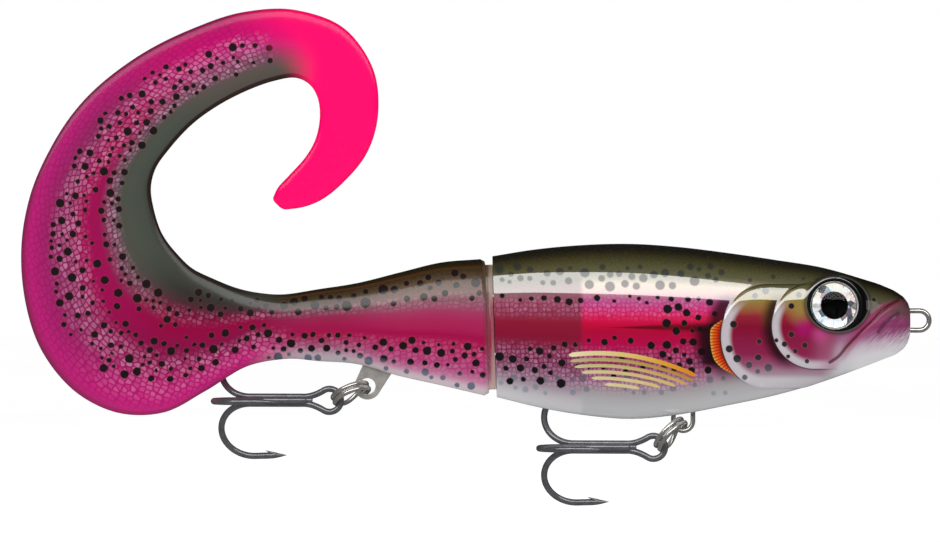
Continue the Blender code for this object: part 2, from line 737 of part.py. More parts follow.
def ring_path():
    """Two turns of a split ring: points round it, stepping from one layer to the other."""
    start = RING_CROSS_AT + RING_CROSS_HALF
    cross_from = RING_CROSS_AT + 360 - RING_CROSS_HALF
    cross_to = RING_CROSS_AT + 360 + RING_CROSS_HALF
    end = RING_CROSS_AT + 720 - RING_CROSS_HALF
    count = round((end - start) / RING_STEP)
    path = []
    for i in range(count + 1):
        angle = start + (end - start) * i / count
        t = min(max((angle - cross_from) / (cross_to - cross_from), 0.0), 1.0)
        layer = RING_PITCH * (t * t * (3 - 2 * t) - 0.5)
        turn = math.radians(angle)
        path.append((RING_RADIUS * (1 - math.cos(turn)), RING_RADIUS * math.sin(turn), layer, 1.0))
    return path


def ring_frame(hook_eye, slope):
    """X along the ring away from what it hangs on, Y across the fish with a small tilt."""
    along = Vector((slope[0], 0.0, slope[1])).normalized()
    tilt = Matrix.Rotation(math.radians(RING_TILT), 4, along)
    across = tilt @ Vector((0.0, 1.0, 0.0))
    normal = along.cross(across)
    turn = Matrix((along, across, normal)).transposed().to_4x4()
    return frame_at(hook_eye[0], 0.0, hook_eye[1]) @ turn


def hook_points(direction):
    """One hook from the eye to its point, in the plane of its direction."""
    across, up = direction
    bend = (POINT_OFFSET - SHANK_OFFSET) / 2
    flat = [(SHANK_START, SHANK_OFFSET, 1.0)]
    for u, offset in arc((SHANK_END, SHANK_OFFSET + bend), bend, -90, 90, 12):
        flat.append((u, offset, 1.0))
    tip_u, tip_offset = POINT_TIP
    tapers = ((0.35, 1.0), (0.6, 0.92), (0.82, 0.55), (1.0, 0.12))
    for t, scale in tapers:
        u = SHANK_END + (tip_u - SHANK_END) * t
        flat.append((u, POINT_OFFSET + (tip_offset - POINT_OFFSET) * t, scale))
    return [(u, offset * across, offset * up, scale) for u, offset, scale in flat]


def double_hook_path():
    turn = math.radians(30)
    away = -math.sin(turn)
    upper = hook_points((away, math.cos(turn)))
    lower = hook_points((away, -math.cos(turn)))
    opening = HOOK_EYE_OPENING
    eye = arc((HOOK_EYE_AT, 0.0), HOOK_EYE_RADIUS, opening, 360 - opening, 15)
    return list(reversed(upper)) + [(u, 0.0, z, 1.0) for u, z in eye] + lower


def make_rigging(shop, name, hook_eye, slope, yaw):
    """A split ring and its treble hook, which trails back from a hook eye."""
    steel = ((0.72, 0.72, 0.74), 0.2, 1.0)
    nickel = ((0.09, 0.09, 0.1), 0.25, 1.0)
    frame = ring_frame(hook_eye, slope)
    hanging = shop.empty(name + "_ring_hinge", frame)
    shop.wire(name + "_split_ring", ring_path(), RING_WIRE, steel, hanging)
    far_end = frame @ point(2 * RING_RADIUS, 0.0, 0.0)
    turn = Matrix.Translation(far_end) @ Matrix.Rotation(math.radians(yaw), 4, "Z")
    swing = shop.empty(name + "_treble_hinge", turn)
    shop.wire(name + "_treble_double", double_hook_path(), HOOK_WIRE, nickel, swing)
    shop.wire(name + "_treble_single", hook_points((1.0, 0.0)), HOOK_WIRE, nickel, swing)


def main():
    clear_scene()
    shop = Workshop()
    hinge = shop.empty("tail_hinge", hinge_frame())
    make_shells(shop, hinge)
    make_foils(shop)
    make_eyes(shop)
    make_ballast(shop)
    make_rattle(shop)
    make_wire_hardware(shop)
    make_pin(shop, hinge)
    make_coupling(shop, hinge)
    make_harness(shop)
    make_soft_tail(shop, hinge)
    make_rigging(shop, "front", HANGER_CENTRE, FRONT_RING_SLOPE, FRONT_HOOK_YAW)
    make_rigging(shop, "rear", PLATE_EYE, REAR_RING_SLOPE, REAR_HOOK_YAW)
    bpy.context.view_layer.update()


main()
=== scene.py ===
"""Looks of the jointed swimbait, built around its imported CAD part.

Sizes are in millimetres in the part's own frame and become metres as each mesh is made.
"Behind" is measured from the line tie towards the tail, "up" towards the back, and
"along" and "across" follow the soft tail's curl.
"""

import json
import math

import bmesh
import bpy
import numpy as np
from mathutils import Matrix, Vector

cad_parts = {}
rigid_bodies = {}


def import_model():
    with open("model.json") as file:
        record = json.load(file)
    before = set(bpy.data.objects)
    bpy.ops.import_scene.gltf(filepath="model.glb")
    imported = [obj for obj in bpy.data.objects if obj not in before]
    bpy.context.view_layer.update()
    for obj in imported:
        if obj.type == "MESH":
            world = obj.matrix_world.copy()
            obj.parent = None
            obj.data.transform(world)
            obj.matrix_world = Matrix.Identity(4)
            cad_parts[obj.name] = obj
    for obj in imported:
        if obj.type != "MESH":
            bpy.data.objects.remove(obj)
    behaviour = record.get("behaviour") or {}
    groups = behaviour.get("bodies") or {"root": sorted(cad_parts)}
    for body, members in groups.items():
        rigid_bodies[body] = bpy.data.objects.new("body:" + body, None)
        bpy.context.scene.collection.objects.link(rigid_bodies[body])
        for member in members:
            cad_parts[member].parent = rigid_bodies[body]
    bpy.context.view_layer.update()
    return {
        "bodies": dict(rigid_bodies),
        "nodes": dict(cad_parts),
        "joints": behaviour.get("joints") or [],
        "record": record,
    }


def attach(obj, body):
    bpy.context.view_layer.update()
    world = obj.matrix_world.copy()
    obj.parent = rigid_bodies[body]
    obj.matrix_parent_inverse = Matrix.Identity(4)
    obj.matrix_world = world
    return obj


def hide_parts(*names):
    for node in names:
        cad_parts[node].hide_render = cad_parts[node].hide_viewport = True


MM = 0.001
SIDES = {"left": 1.0, "right": -1.0}

# Front body: distance behind the line tie, back, belly, half width.
BODY_STATIONS = (
    (1.87, 2.35, -2.75, 1.8),
    (2.05, 2.9, -3.5, 2.4),
    (2.7, 4.0, -4.8, 3.3),
    (4.0, 5.1, -6.0, 4.3),
    (6.6, 6.4, -7.15, 5.4),
    (11.1, 7.9, -8.9, 6.6),
    (17.8, 9.8, -11.3, 7.8),
    (26.8, 11.3, -13.9, 8.6),
    (35.7, 12.6, -15.8, 9.0),
    (44.7, 13.7, -17.5, 9.0),
    (53.7, 14.3, -18.35, 8.8),
    (62.6, 14.1, -17.65, 8.1),
    (71.6, 13.25, -16.15, 6.9),
    (79.33, 12.0, -14.3, 5.8),
)
BODY_POWER = 2.4
BODY_WALL = 1.2
SEAM_GAP = 0.04
LEAN_START = 60.0
REAR = BODY_STATIONS[-1][0]
REAR_LEAN = 0.0316
HINGE_BEHIND = 77.73
CUP_DEPTH = 7.0
SHARP = 45

# How finely each half of the body is cut: slices of the nose and the flank, and their points.
NOSE_END = 40.0
NOSE_SLICES = 190
FLANK_SLICES = 96
FLANK_POINTS = 151

# Soft tail: inner edge (behind, up), outer edge, half thickness, squareness.
TAIL_ROWS = (
    ((89.5, 10.8), (89.5, -12.05), 5.6, 2.4),
    ((96.9, 9.0), (96.9, -10.4), 5.0, 2.4),
    ((105.2, 6.95), (105.2, -8.1), 4.1, 2.4),
    ((111.9, 5.9), (111.9, -7.6), 3.5, 2.5),
    ((118.6, 4.9), (118.6, -7.2), 3.0, 2.6),
    ((122.7, 5.1), (125.3, -8.5), 2.6, 2.9),
    ((127.5, 6.1), (133.3, -13.2), 2.3, 3.4),
    ((132.0, 7.9), (140.8, -17.1), 2.1, 3.8),
    ((135.8, 9.8), (149.2, -17.3), 1.9, 4.2),
    ((138.7, 12.6), (156.7, -13.9), 1.8, 4.4),
    ((141.4, 16.3), (163.4, -6.3), 1.7, 4.6),
    ((143.0, 21.2), (166.9, 3.8), 1.6, 4.6),
    ((143.4, 25.3), (167.5, 15.0), 1.6, 4.6),
    ((142.5, 28.5), (165.8, 23.8), 1.5, 4.6),
    ((140.2, 31.8), (162.0, 32.4), 1.5, 4.6),
    ((136.1, 36.3), (155.9, 41.1), 1.5, 4.6),
    ((131.1, 40.0), (146.6, 48.8), 1.5, 4.6),
    ((125.3, 43.0), (135.8, 54.4), 1.5, 4.6),
    ((120.5, 44.7), (125.9, 57.6), 1.5, 4.6),
    ((116.5, 45.3), (116.2, 57.9), 1.5, 4.6),
    ((113.9, 44.1), (107.6, 54.7), 1.5, 4.6),
    ((112.3, 41.5), (102.1, 47.3), 1.5, 4.6),
    ((111.9, 37.8), (101.0, 38.9), 1.5, 4.6),
    ((112.8, 33.6), (103.1, 31.3), 1.5, 4.4),
    ((114.8, 30.2), (107.5, 25.8), 1.4, 4.2),
    ((117.7, 27.0), (112.2, 22.2), 1.3, 4.0),
    ((119.9, 24.5), (115.8, 21.0), 1.2, 3.6),
    ((120.6, 23.0), (118.2, 20.7), 0.9, 3.0),
)
# The tail's front lip and face: place ahead of the hinge, (upper, lower) edges, half thickness.
TAIL_FRONT = (
    (-2.3, (10.45, -12.75), 3.7),
    (-2.98, (10.5, -12.82), 3.74),
    (-3.05, (11.1, -13.4), 4.4),
    (-3.9, (11.6, -13.88), 5.8),
)
BOSS_RADIUS = 1.72
BOSS_ROUND = 0.15
BOSSES = ((4.8, 10.6), (-12.9, -6.3))
TAIL_SLICES = 520
TAIL_RING_POINTS = 228

# Wire hardware.
LINE_TIE_RADIUS = 0.475
LINE_TIE_LOOP = 1.8
LINE_TIE_END = 8.5
HANGER_RADIUS = 0.45
HANGER_LOOP = 1.82
HANGER_CENTRE = (44.1, -18.75)
HANGER_TOP = -13.6
PLATE_HALF = 0.5
PLATE_EYE = (103.0, -12.24)
PLATE_EYE_HOLE = 1.5
PLATE_EYE_RADIUS = 2.5
PLATE_TOP = ((84.0, 5.0), (96.0, 4.5), (111.0, 2.2), (111.5, -1.0), (105.8, -3.0), (103.7, -7.9))
PLATE_BELOW = ((98.35, -9.6), (97.3, -6.0), (84.0, -6.0))
RING_RADIUS = 3.4
RING_WIRE = 0.45
RING_PITCH = 1.0
RING_CROSS_AT = 90
RING_CROSS_HALF = 35
RING_TILT = 16.0
FRONT_RING_SLOPE = (-0.69, -0.724)
REAR_RING_SLOPE = (-0.92, -0.392)
HOOK_WIRE = 0.6
HOOK_EYE_RADIUS = 2.15
HOOK_EYE_AT = 0.85
HOOK_EYE_OPENING = 55
SHANK_START = 5.4
SHANK_END = 15.85
SHANK_OFFSET = 0.76
POINT_OFFSET = 12.3
POINT_TIP = (9.65, 12.1)
TREBLE_SPREAD = 30.0
FRONT_HOOK_YAW = 174.0
REAR_HOOK_YAW = 175.0

FLOOR_UP = -56.0
FLOOR_REACH = 4000.0
LIGHTS_TOWARD = (-0.08, 0.0, 0.0)

# The room for the rattle's tube, open at the seam between the two halves.
RATTLE_FROM = 22.0
RATTLE_UP = -1.0
RATTLE_CHAMBER = ((0.0, 0.0), (3.25, 0.0), (3.25, 17.6), (0.0, 17.6))

EYE_CENTRE = (16.4, 7.6, 2.9)
EYE_YAW = 8.0
EYE_PITCH = 6.0
EYE_POCKET_RADIUS = 4.6
EYE_BOSS = (5.2, 6.1)
EYE_SHIFT = (0.6, 0.22)
EYE_LONGER = 1.14
EYE_POCKET_DEPTH = 1.0
EYE_PRINT_RADIUS = 4.4
EYE_PRINT_TOP = -0.48
EYE_PRINT_BASE = -0.88
EYE_DOME_RADIUS = 4.5
EYE_DOME_RISE = 1.25

# Gill covers: a rounded plate ends behind at an ellipse; (behind, up, radii).
REAR_GILL = (28.5, -3.0, 8.6, 9.7)
FRONT_GILL = (19.5, -1.0, 8.1, 8.1)
GILL_RISE = 0.26
# The print is laid out as it looks square on, so it shrinks a little where the flank bulges.
LAYOUT_CENTRE = (83.9, 9.2)
LAYOUT_REACH = 900.0
MOUTH = ((4.0, 3.8), (6.1, 2.6), (8.6, 0.1), (11.1, -2.3), (13.6, -4.9), (15.2, -6.8), (16.7, -7.8))
LIP = ((4.0, 1.3), (6.1, -0.2), (7.7, -2.1))


def linear(colour):
    """A linear RGBA colour from 0 to 255 display values."""
    values = []
    for part in colour:
        part /= 255
        values.append(part / 12.92 if part <= 0.04045 else ((part + 0.055) / 1.055) ** 2.4)
    return (*values, 1.0)


class Paint:
    """Builds one material's node tree from short calls."""

    def __init__(self, name):
        self.material = bpy.data.materials.new(name)
        self.material.use_nodes = True
        self.tree = self.material.node_tree
        self.shader = self.tree.nodes["Principled BSDF"]

    def feed(self, socket, value):
        if isinstance(value, bpy.types.NodeSocket):
            self.tree.links.new(value, socket)
        elif isinstance(value, tuple) and len(value) == 3 and socket.type == "RGBA":
            socket.default_value = linear(value)
        else:
            socket.default_value = value

    def node(self, kind, inputs, output=0, **settings):
        made = self.tree.nodes.new(kind)
        for key, value in settings.items():
            setattr(made, key, value)
        for key, value in inputs.items():
            self.feed(made.inputs[key], value)
        return made.outputs[output]

    def field(self, name):
        return self.node("ShaderNodeAttribute", {}, 2, attribute_name=name)

    def place(self):
        """The point's position in the part's frame, in millimetres."""
        spot = self.tree.nodes.new("ShaderNodeTexCoord").outputs["Object"]
        return self.node("ShaderNodeVectorMath", {0: spot, "Scale": 1 / MM}, operation="SCALE")

    def parts_of(self, vector):
        split = self.tree.nodes.new("ShaderNodeSeparateXYZ")
        self.feed(split.inputs[0], vector)
        return split.outputs

    def vector(self, x, y, z=0.0):
        return self.node("ShaderNodeCombineXYZ", {0: x, 1: y, 2: z})

    def math(self, operation, first, second=0.0):
        return self.node("ShaderNodeMath", {0: first, 1: second}, operation=operation)

    def add(self, first, second):
        return self.math("ADD", first, second)

    def times(self, result, *factors):
        for factor in factors:
            result = self.math("MULTIPLY", result, factor)
        return result

    def less(self, first, second):
        return self.math("SUBTRACT", first, second)

    def flip(self, value):
        return self.less(1.0, value)

    def step(self, value, start, end):
        """Smoothly 0 to 1 as the value goes from start to end."""
        spans = {0: value, 1: start, 2: end}
        return self.node("ShaderNodeMapRange", spans, interpolation_type="SMOOTHSTEP")

    def between(self, value, low, high, soft=0.1):
        rise = self.step(value, low - soft, low + soft)
        return self.times(rise, self.step(value, high + soft, high - soft))

    def mix(self, amount, first, second, blend="MIX"):
        inputs = {0: amount, 6: first, 7: second}
        return self.node("ShaderNodeMix", inputs, 2, data_type="RGBA", blend_type=blend)

    def over(self, colour, tint, *shares):
        """The colour with a tint laid over it, as strongly as all the shares allow."""
        return self.mix(self.times(*shares), colour, tint)

    def ramp(self, value, stops):
        """A colour that changes through (value, colour) stops."""
        low, high = stops[0][0], stops[-1][0]
        share = self.node("ShaderNodeMapRange", {0: value, 1: low, 2: high})
        made = self.tree.nodes.new("ShaderNodeValToRGB")
        self.feed(made.inputs[0], share)
        knots = made.color_ramp.elements
        while len(knots) < len(stops):
            knots.new(0.5)
        for knot, (at, _colour) in zip(knots, stops):
            knot.position = (at - low) / (high - low)
        for knot, (_at, colour) in zip(knots, stops):
            knot.color = linear(colour)
        return made.outputs[0]

    def noise(self, vector, scale, detail=2.0, roughness=0.5):
        inputs = {"Vector": vector, "Scale": scale, "Detail": detail, "Roughness": roughness}
        return self.node("ShaderNodeTexNoise", inputs)

    def voronoi(self, vector, feature="F1", randomness=0.62, output=0, scale=1.0):
        inputs = {"Vector": vector, "Scale": scale, "Randomness": randomness}
        settings = {"voronoi_dimensions": "2D", "feature": feature}
        return self.node("ShaderNodeTexVoronoi", inputs, output, **settings)

    def scales(self, along, across, pitch, longer=1.0):
        """Rounded uneven scales: 1 inside a scale and 0 between, and each scale's own shade."""
        where = self.vector(self.times(along, 1 / (pitch * longer)), self.times(across, 1 / pitch))
        edge = self.voronoi(where, "DISTANCE_TO_EDGE")
        centre = self.voronoi(where)
        shade = self.parts_of(self.voronoi(where, output=1))[0]
        return self.times(self.step(edge, 0.03, 0.2), self.step(centre, 0.68, 0.42)), shade

    def bump(self, height, depth, strength=1.0, below=None):
        inputs = {"Height": height, "Distance": depth * MM, "Strength": strength}
        if below is not None:
            inputs["Normal"] = below
        return self.node("ShaderNodeBump", inputs)

    def finish(self, **inputs):
        for key, value in inputs.items():
            self.feed(self.shader.inputs[key.replace("_", " ")], value)
        return self.material


def through(stations, at):
    """Values of a smooth curve through the stations, whose first column is the place."""
    table = np.array(stations, dtype=float)
    places, values = table[:, 0], table[:, 1:]
    slopes = np.gradient(values, places, axis=0)
    at = np.clip(np.asarray(at, dtype=float), places[0], places[-1])
    i = np.clip(np.searchsorted(places, at) - 1, 0, len(places) - 2)
    step = (places[i + 1] - places[i])[:, None]
    t = (at - places[i])[:, None] / step
    rising = t * t * (3 - 2 * t)
    start = t * (1 - t) ** 2 * step
    finish = t * t * (t - 1) * step
    level = values[i] * (1 - rising) + values[i + 1] * rising
    return level + slopes[i] * start + slopes[i + 1] * finish


def smooth_step(value, start, end):
    t = np.clip((value - start) / (end - start), 0.0, 1.0)
    return t * t * (3 - 2 * t)


def travelled(points):
    """Distance along a line of points, from its first one."""
    steps = np.linalg.norm(np.diff(points, axis=0), axis=1)
    return np.concatenate(([0.0], np.cumsum(steps)))


def resampled(points, count):
    """A smooth line through the points, as that many even ones."""
    points = np.array(points, dtype=float)
    far = travelled(points)
    return through(np.column_stack((far, points)), np.linspace(0.0, far[-1], count))


def rounded(angles, power):
    """Points of a superellipse of half size 1: across and up."""
    c, s = np.cos(angles), np.sin(angles)
    return np.sign(c) * np.abs(c) ** (2 / power), np.sign(s) * np.abs(s) ** (2 / power)


def evened(angles, power):
    """The same outline with its points spread evenly along the flat sides."""
    across, up = np.cos(angles), np.sin(angles)
    return np.sign(across) * np.clip(1 - np.abs(up) ** power, 0.0, 1.0) ** (1 / power), up


def lean_at(behind):
    return REAR_LEAN * smooth_step(behind, LEAN_START, REAR)


def distance_to_line(first, second, line):
    """Distance of each point (first, second) from a line of points."""
    best = np.full(len(first), 99.0)
    fine = resampled(line, 40)
    for start, end in zip(fine, fine[1:]):
        run = end - start
        right, rise = first - start[0], second - start[1]
        t = np.clip((right * run[0] + rise * run[1]) / (run @ run), 0.0, 1.0)
        best = np.minimum(best, np.hypot(right - t * run[0], rise - t * run[1]))
    return best


def placed(name, data):
    """An object made of the data, in the scene."""
    made = bpy.data.objects.new(name, data)
    bpy.context.scene.collection.objects.link(made)
    return made


def smoothed(mesh, sharp=SHARP):
    """The mesh shaded smooth, with edges sharp from that many degrees."""
    mesh.shade_smooth()
    mesh.set_sharp_from_angle(angle=math.radians(sharp))
    return mesh


def faced_out(mesh, merge=None):
    """The mesh with its faces turned outwards, and near points merged if asked."""
    shape = bmesh.new()
    shape.from_mesh(mesh)
    if merge:
        bmesh.ops.remove_doubles(shape, verts=shape.verts, dist=merge * MM)
    bmesh.ops.recalc_face_normals(shape, faces=shape.faces)
    shape.to_mesh(mesh)
    shape.free()
    return mesh


def baked(piece):
    """A new mesh of the piece as it is evaluated."""
    view = bpy.context.evaluated_depsgraph_get()
    return bpy.data.meshes.new_from_object(piece.evaluated_get(view))


def new_mesh(name, points, faces, sharp=SHARP):
    mesh = bpy.data.meshes.new(name)
    mesh.from_pydata([tuple(p) for p in np.asarray(points) * MM], [], faces)
    return placed(name, smoothed(faced_out(mesh), sharp))


def dress(piece, body, material, slot, *nodes):
    """Give a piece its material and its body, and hide the CAD nodes it stands for; the slot is not
    used.
    """
    piece.data.materials.clear()
    piece.data.materials.append(material)
    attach(piece, body)
    if nodes:
        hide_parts(*nodes)
    return piece


def add_fields(mesh, **fields):
    """Store one value per point under each name, for the paint to read."""
    for name, values in fields.items():
        field = mesh.attributes.new(name, "FLOAT", "POINT")
        field.data.foreach_set("value", np.asarray(values, dtype=np.float32))


def vertices_of(mesh):
    flat = np.zeros(len(mesh.vertices) * 3)
    mesh.vertices.foreach_get("co", flat)
    return flat.reshape(-1, 3) / MM


def cut(piece, tool):
    """Take the tool's shape out of the piece for good."""
    change = piece.modifiers.new("cut", "BOOLEAN")
    change.operation = "DIFFERENCE"
    change.solver = "EXACT"
    change.object = tool
    mesh = baked(piece)
    piece.modifiers.clear()
    piece.data = smoothed(mesh)
    bpy.data.objects.remove(tool, do_unlink=True)


def quads(rows, columns, closed=False, start=0):
    """Faces of a grid whose points are listed row by row."""
    faces = []
    for i in range(rows - 1):
        for j in range(columns if closed else columns - 1):
            k = (j + 1) % columns
            near, far = start + i * columns, start + (i + 1) * columns
            faces.append((near + j, near + k, far + k, far + j))
    return faces


def capped(rows, columns):
    """Faces of a tube of closed rows, with a flat face over each end."""
    last = (rows - 1) * columns
    ends = [tuple(range(columns)), tuple(range(last, last + columns))]
    return quads(rows, columns, closed=True) + ends


def tube(points, radii, sides=18):
    """Points and faces of a round wire along a line, with softly rounded ends."""
    points = np.asarray(points, dtype=float)
    radii = np.broadcast_to(radii, len(points)).astype(float)
    tangents = np.gradient(points, axis=0)
    tangents /= np.linalg.norm(tangents, axis=1)[:, None]
    start, end = points[0], points[-1]
    first, last = tangents[0], tangents[-1]
    points = np.vstack((start - first * radii[0] * 0.3, points, end + last * radii[-1] * 0.3))
    radii = np.concatenate(([radii[0] * 0.72], radii, [radii[-1] * 0.72]))
    tangents = np.vstack((first, tangents, last))
    guess = np.array((0.0, 0.0, 1.0)) if abs(first[2]) < 0.9 else np.array((1.0, 0.0, 0.0))
    turns = np.linspace(0, 2 * math.pi, sides, endpoint=False)
    rings = []
    for centre, tangent, radius in zip(points, tangents, radii):
        guess = guess - tangent * (guess @ tangent)
        guess /= np.linalg.norm(guess)
        other = np.cross(tangent, guess)
        circle = np.outer(np.cos(turns), guess) + np.outer(np.sin(turns), other)
        rings.append(centre + radius * circle)
    return np.vstack(rings), capped(len(rings), sides)


def joined(name, shapes):
    """One object from several (points, faces) shapes."""
    points, faces, start = [], [], 0
    for part_points, part_faces in shapes:
        points.append(part_points)
        faces += [tuple(start + i for i in face) for face in part_faces]
        start += len(part_points)
    return new_mesh(name, np.vstack(points), faces)


def turned(profile, steps=120):
    """Points and faces of a profile of (radius, height) turned about Z, from axis to axis."""
    turns = np.linspace(0, 2 * math.pi, steps, endpoint=False)
    points = [(0.0, 0.0, profile[0][1])]
    for radius, height in profile[1:-1]:
        points += [(radius * math.cos(a), radius * math.sin(a), height) for a in turns]
    points.append((0.0, 0.0, profile[-1][1]))
    rings = len(profile) - 2
    faces = quads(rings, steps, closed=True, start=1)
    last = 1 + (rings - 1) * steps
    for j in range(steps):
        k = (j + 1) % steps
        faces.append((0, 1 + k, 1 + j))
        faces.append((len(points) - 1, last + j, last + k))
    return np.array(points), faces


def moved(shape, frame):
    """A (points, faces) shape put in a frame whose own sizes are in metres."""
    points, faces = shape
    return points @ np.array(frame)[:3, :3].T + np.array(frame.translation) / MM, faces


def frame_at(behind, side=0.0, up=0.0):
    return Matrix.Translation(Vector((-behind, side, up)) * MM)


def hinge_frame():
    return frame_at(HINGE_BEHIND) @ Matrix.Rotation(-math.atan(REAR_LEAN), 4, "Y")


def eye_frame(side):
    behind, out, up = EYE_CENTRE
    yaw, pitch = math.radians(EYE_YAW), math.radians(EYE_PITCH)
    facing = Vector((math.sin(yaw), side * math.cos(yaw) * math.cos(pitch), math.sin(pitch)))
    return frame_at(behind, side * out, up) @ facing.to_track_quat("Z", "Y").to_matrix().to_4x4()


# ---------------------------------------------------------------- front body


def gill_depth(behind, up, gill):
    """How far inside a gill cover's rear edge a point is."""
    centre, middle, long, tall = gill
    back = np.maximum(behind - centre, 0.0) / long
    rise = (up - middle) / tall
    return (1.0 - np.hypot(back, rise)) * (long + tall) / 2


def laid_out(behind, up, out):
    """Where a point of the flank lies in the flat layout of the print."""
    grow = LAYOUT_REACH / (LAYOUT_REACH - out)
    centre, level = LAYOUT_CENTRE
    return centre + (behind - centre) * grow, level + (up - level) * grow


def relief(behind, up):
    """How far the moulded details stand out of the flank."""
    front = gill_depth(behind, up, FRONT_GILL)
    rear = gill_depth(behind, up, REAR_GILL)
    fade_in = smooth_step(behind, 15.0, 22.0)
    height = GILL_RISE * smooth_step(front, -0.1, 0.45) * fade_in * smooth_step(front, 9.0, 1.0)
    height += GILL_RISE * smooth_step(rear, -0.1, 0.45) * fade_in * smooth_step(rear, 9.0, 1.0)
    mouth = distance_to_line(behind, up, MOUTH)
    lip = distance_to_line(behind, up, LIP)
    height -= 0.2 * np.exp(-((mouth / 0.3) ** 2))
    height += 0.07 * np.exp(-(((mouth - 0.8) / 0.5) ** 2))
    height -= 0.09 * np.exp(-((lip / 0.3) ** 2))
    notch = np.hypot(behind - 4.0, up - 5.1)
    height -= 0.3 * np.exp(-((notch / 0.7) ** 2))
    return height


def flank_grid(side, places, angles, wall=0.0):
    """Points of a flank that lies one wall inside the outline, with what placed them."""
    back, belly, half = through(BODY_STATIONS, places).T
    across, rise = rounded(angles, BODY_POWER)
    tall = (back - belly) / 2 - wall
    up = ((back + belly) / 2)[:, None] + tall[:, None] * rise
    out = np.maximum((half - wall)[:, None] * across, SEAM_GAP)
    behind = np.broadcast_to(places[:, None], up.shape)
    points = np.stack((-behind - lean_at(behind) * up, side * out, up), axis=2)
    return points, behind, up, out, across


def skin_surface(side, places, angles):
    """A flank's outer surface as a grid of points, with its moulded details."""
    points, behind, up, out, across = flank_grid(side, places, angles)
    normal = np.cross(np.gradient(points, axis=0), np.gradient(points, axis=1))
    normal /= np.linalg.norm(normal, axis=2)[:, :, None]
    normal *= np.sign(normal[:, :, 1] * side)[:, :, None]
    flat_behind, flat_up = laid_out(behind, up, out)
    height = relief(flat_behind.ravel(), flat_up.ravel()).reshape(up.shape)
    edge = smooth_step(across, 0.05, 0.35)[None, :] * smooth_step(places, 2.4, 4.0)[:, None]
    points += normal * (height * edge)[:, :, None]
    return raise_eye_ring(points, side)


def raise_eye_ring(points, side):
    """The flank's points, lifted around the eye to a flat ring."""
    frame = eye_frame(side)
    turn = np.array(frame)[:3, :3]
    local = (points - np.array(frame.translation) / MM) @ turn
    slope = smooth_step(np.hypot(local[:, :, 0], local[:, :, 1]), *EYE_BOSS)
    lift = np.maximum(-0.02 - local[:, :, 2], 0.0) * (1.0 - slope)
    return points + lift[:, :, None] * turn[:, 2]


def skin_shape(side):
    """A closed half of the body: outer surface, rear lip, open rear cup and seam face."""
    front = BODY_STATIONS[0][0]
    nose = front + (NOSE_END - front) * np.linspace(0, 1, NOSE_SLICES) ** 1.25
    flank = np.linspace(NOSE_END, REAR, FLANK_SLICES)[1:]
    places = np.concatenate((nose, flank))
    angles = np.linspace(-math.pi / 2, math.pi / 2, FLANK_POINTS)
    outer = skin_surface(side, places, angles)
    rows, columns = outer.shape[:2]
    cup_from = int(np.searchsorted(places, REAR - CUP_DEPTH))
    inner = flank_grid(side, places[cup_from:], angles, BODY_WALL)[0]
    points = np.vstack((outer.reshape(-1, 3), inner.reshape(-1, 3)))
    base = rows * columns
    top = columns - 1

    def out(i, j):
        return i * columns + j

    def within(i, j):
        return base + (i - cup_from) * columns + j

    faces = quads(rows, columns)
    faces += quads(rows - cup_from, columns, start=base)
    last = rows - 1
    for j in range(top):
        faces.append((out(last, j), out(last, j + 1), within(last, j + 1), within(last, j)))
    for i in range(cup_from, last):
        for j in (0, top):
            faces.append((out(i, j), out(i + 1, j), within(i + 1, j), within(i, j)))
    for i in range(cup_from - 1):
        faces.append((out(i, 0), out(i + 1, 0), out(i + 1, top), out(i, top)))
    i = cup_from
    lower = (out(i - 1, 0), out(i, 0), within(i, 0))
    faces.append((*lower, within(i, top), out(i, top), out(i - 1, top)))
    faces.append(tuple(within(i, j) for j in range(columns)))
    faces.append(tuple(out(0, j) for j in range(columns)))
    return points, faces


def scattered(seed, spots, *boxes):
    """Round spots thrown into boxes of (behind, up, tries, radius, gap), each one clear."""
    rng = np.random.default_rng(seed)
    for span, rise, tries, radii, gap in boxes:
        for _ in range(tries):
            along, across = rng.uniform(*span), rng.uniform(*rise)
            keep_if_clear(spots, along, across, rng.uniform(*radii), gap)
    return spots


def keep_if_clear(spots, along, across, radius, gap):
    """Add a spot unless it comes nearer than the gap to one already there."""
    for place, level, size in spots:
        if math.hypot(along - place, across - level) < radius + size + gap:
            return
    spots.append((along, across, radius))


def spot_field(along, across, spots):
    """Distance outside the nearest spot's edge, negative within it."""
    field = np.full(len(along), 9.0)
    for place, level, radius in spots:
        field = np.minimum(field, np.hypot(along - place, across - level) - radius)
    return field


# Black spots of the head: behind, up, radius.
HEAD_SPOTS = (
    (34.7, -0.7, 0.66), (35.5, -5.3, 0.68), (34.0, -7.1, 0.74), (31.8, -8.3, 0.6),
    (29.9, -3.9, 0.45), (30.1, -6.9, 0.6), (28.2, -8.8, 0.72), (30.2, -9.5, 0.45),
    (32.6, -10.6, 0.5), (30.7, 4.6, 0.55), (28.7, 5.5, 0.64), (23.9, 2.7, 0.54),
    (22.5, 4.8, 0.56), (23.9, -2.6, 0.54), (26.7, -3.7, 0.4), (25.2, -4.4, 0.52),
    (21.4, -4.6, 0.5), (23.2, -5.7, 0.42), (24.5, -6.7, 0.38), (21.0, -7.6, 0.42),
    (8.5, 3.9, 0.4),
)


def body_spots():
    """Black spots of the flank as (behind, up, radius)."""
    return scattered(
        11,
        list(HEAD_SPOTS),
        ((38.0, 78.6), (3.2, 4.7), 60, (0.34, 0.72), 0.8),
        ((37.8, 48.0), (-9.4, 3.9), 260, (0.42, 0.84), 0.4),
        ((42.0, 66.5), (-5.0, -3.2), 60, (0.4, 0.82), 0.7),
        ((66.0, 78.6), (-12.0, -4.6), 150, (0.45, 0.9), 0.6),
        ((42.0, 66.0), (-10.5, -6.0), 40, (0.34, 0.6), 1.2),
    )


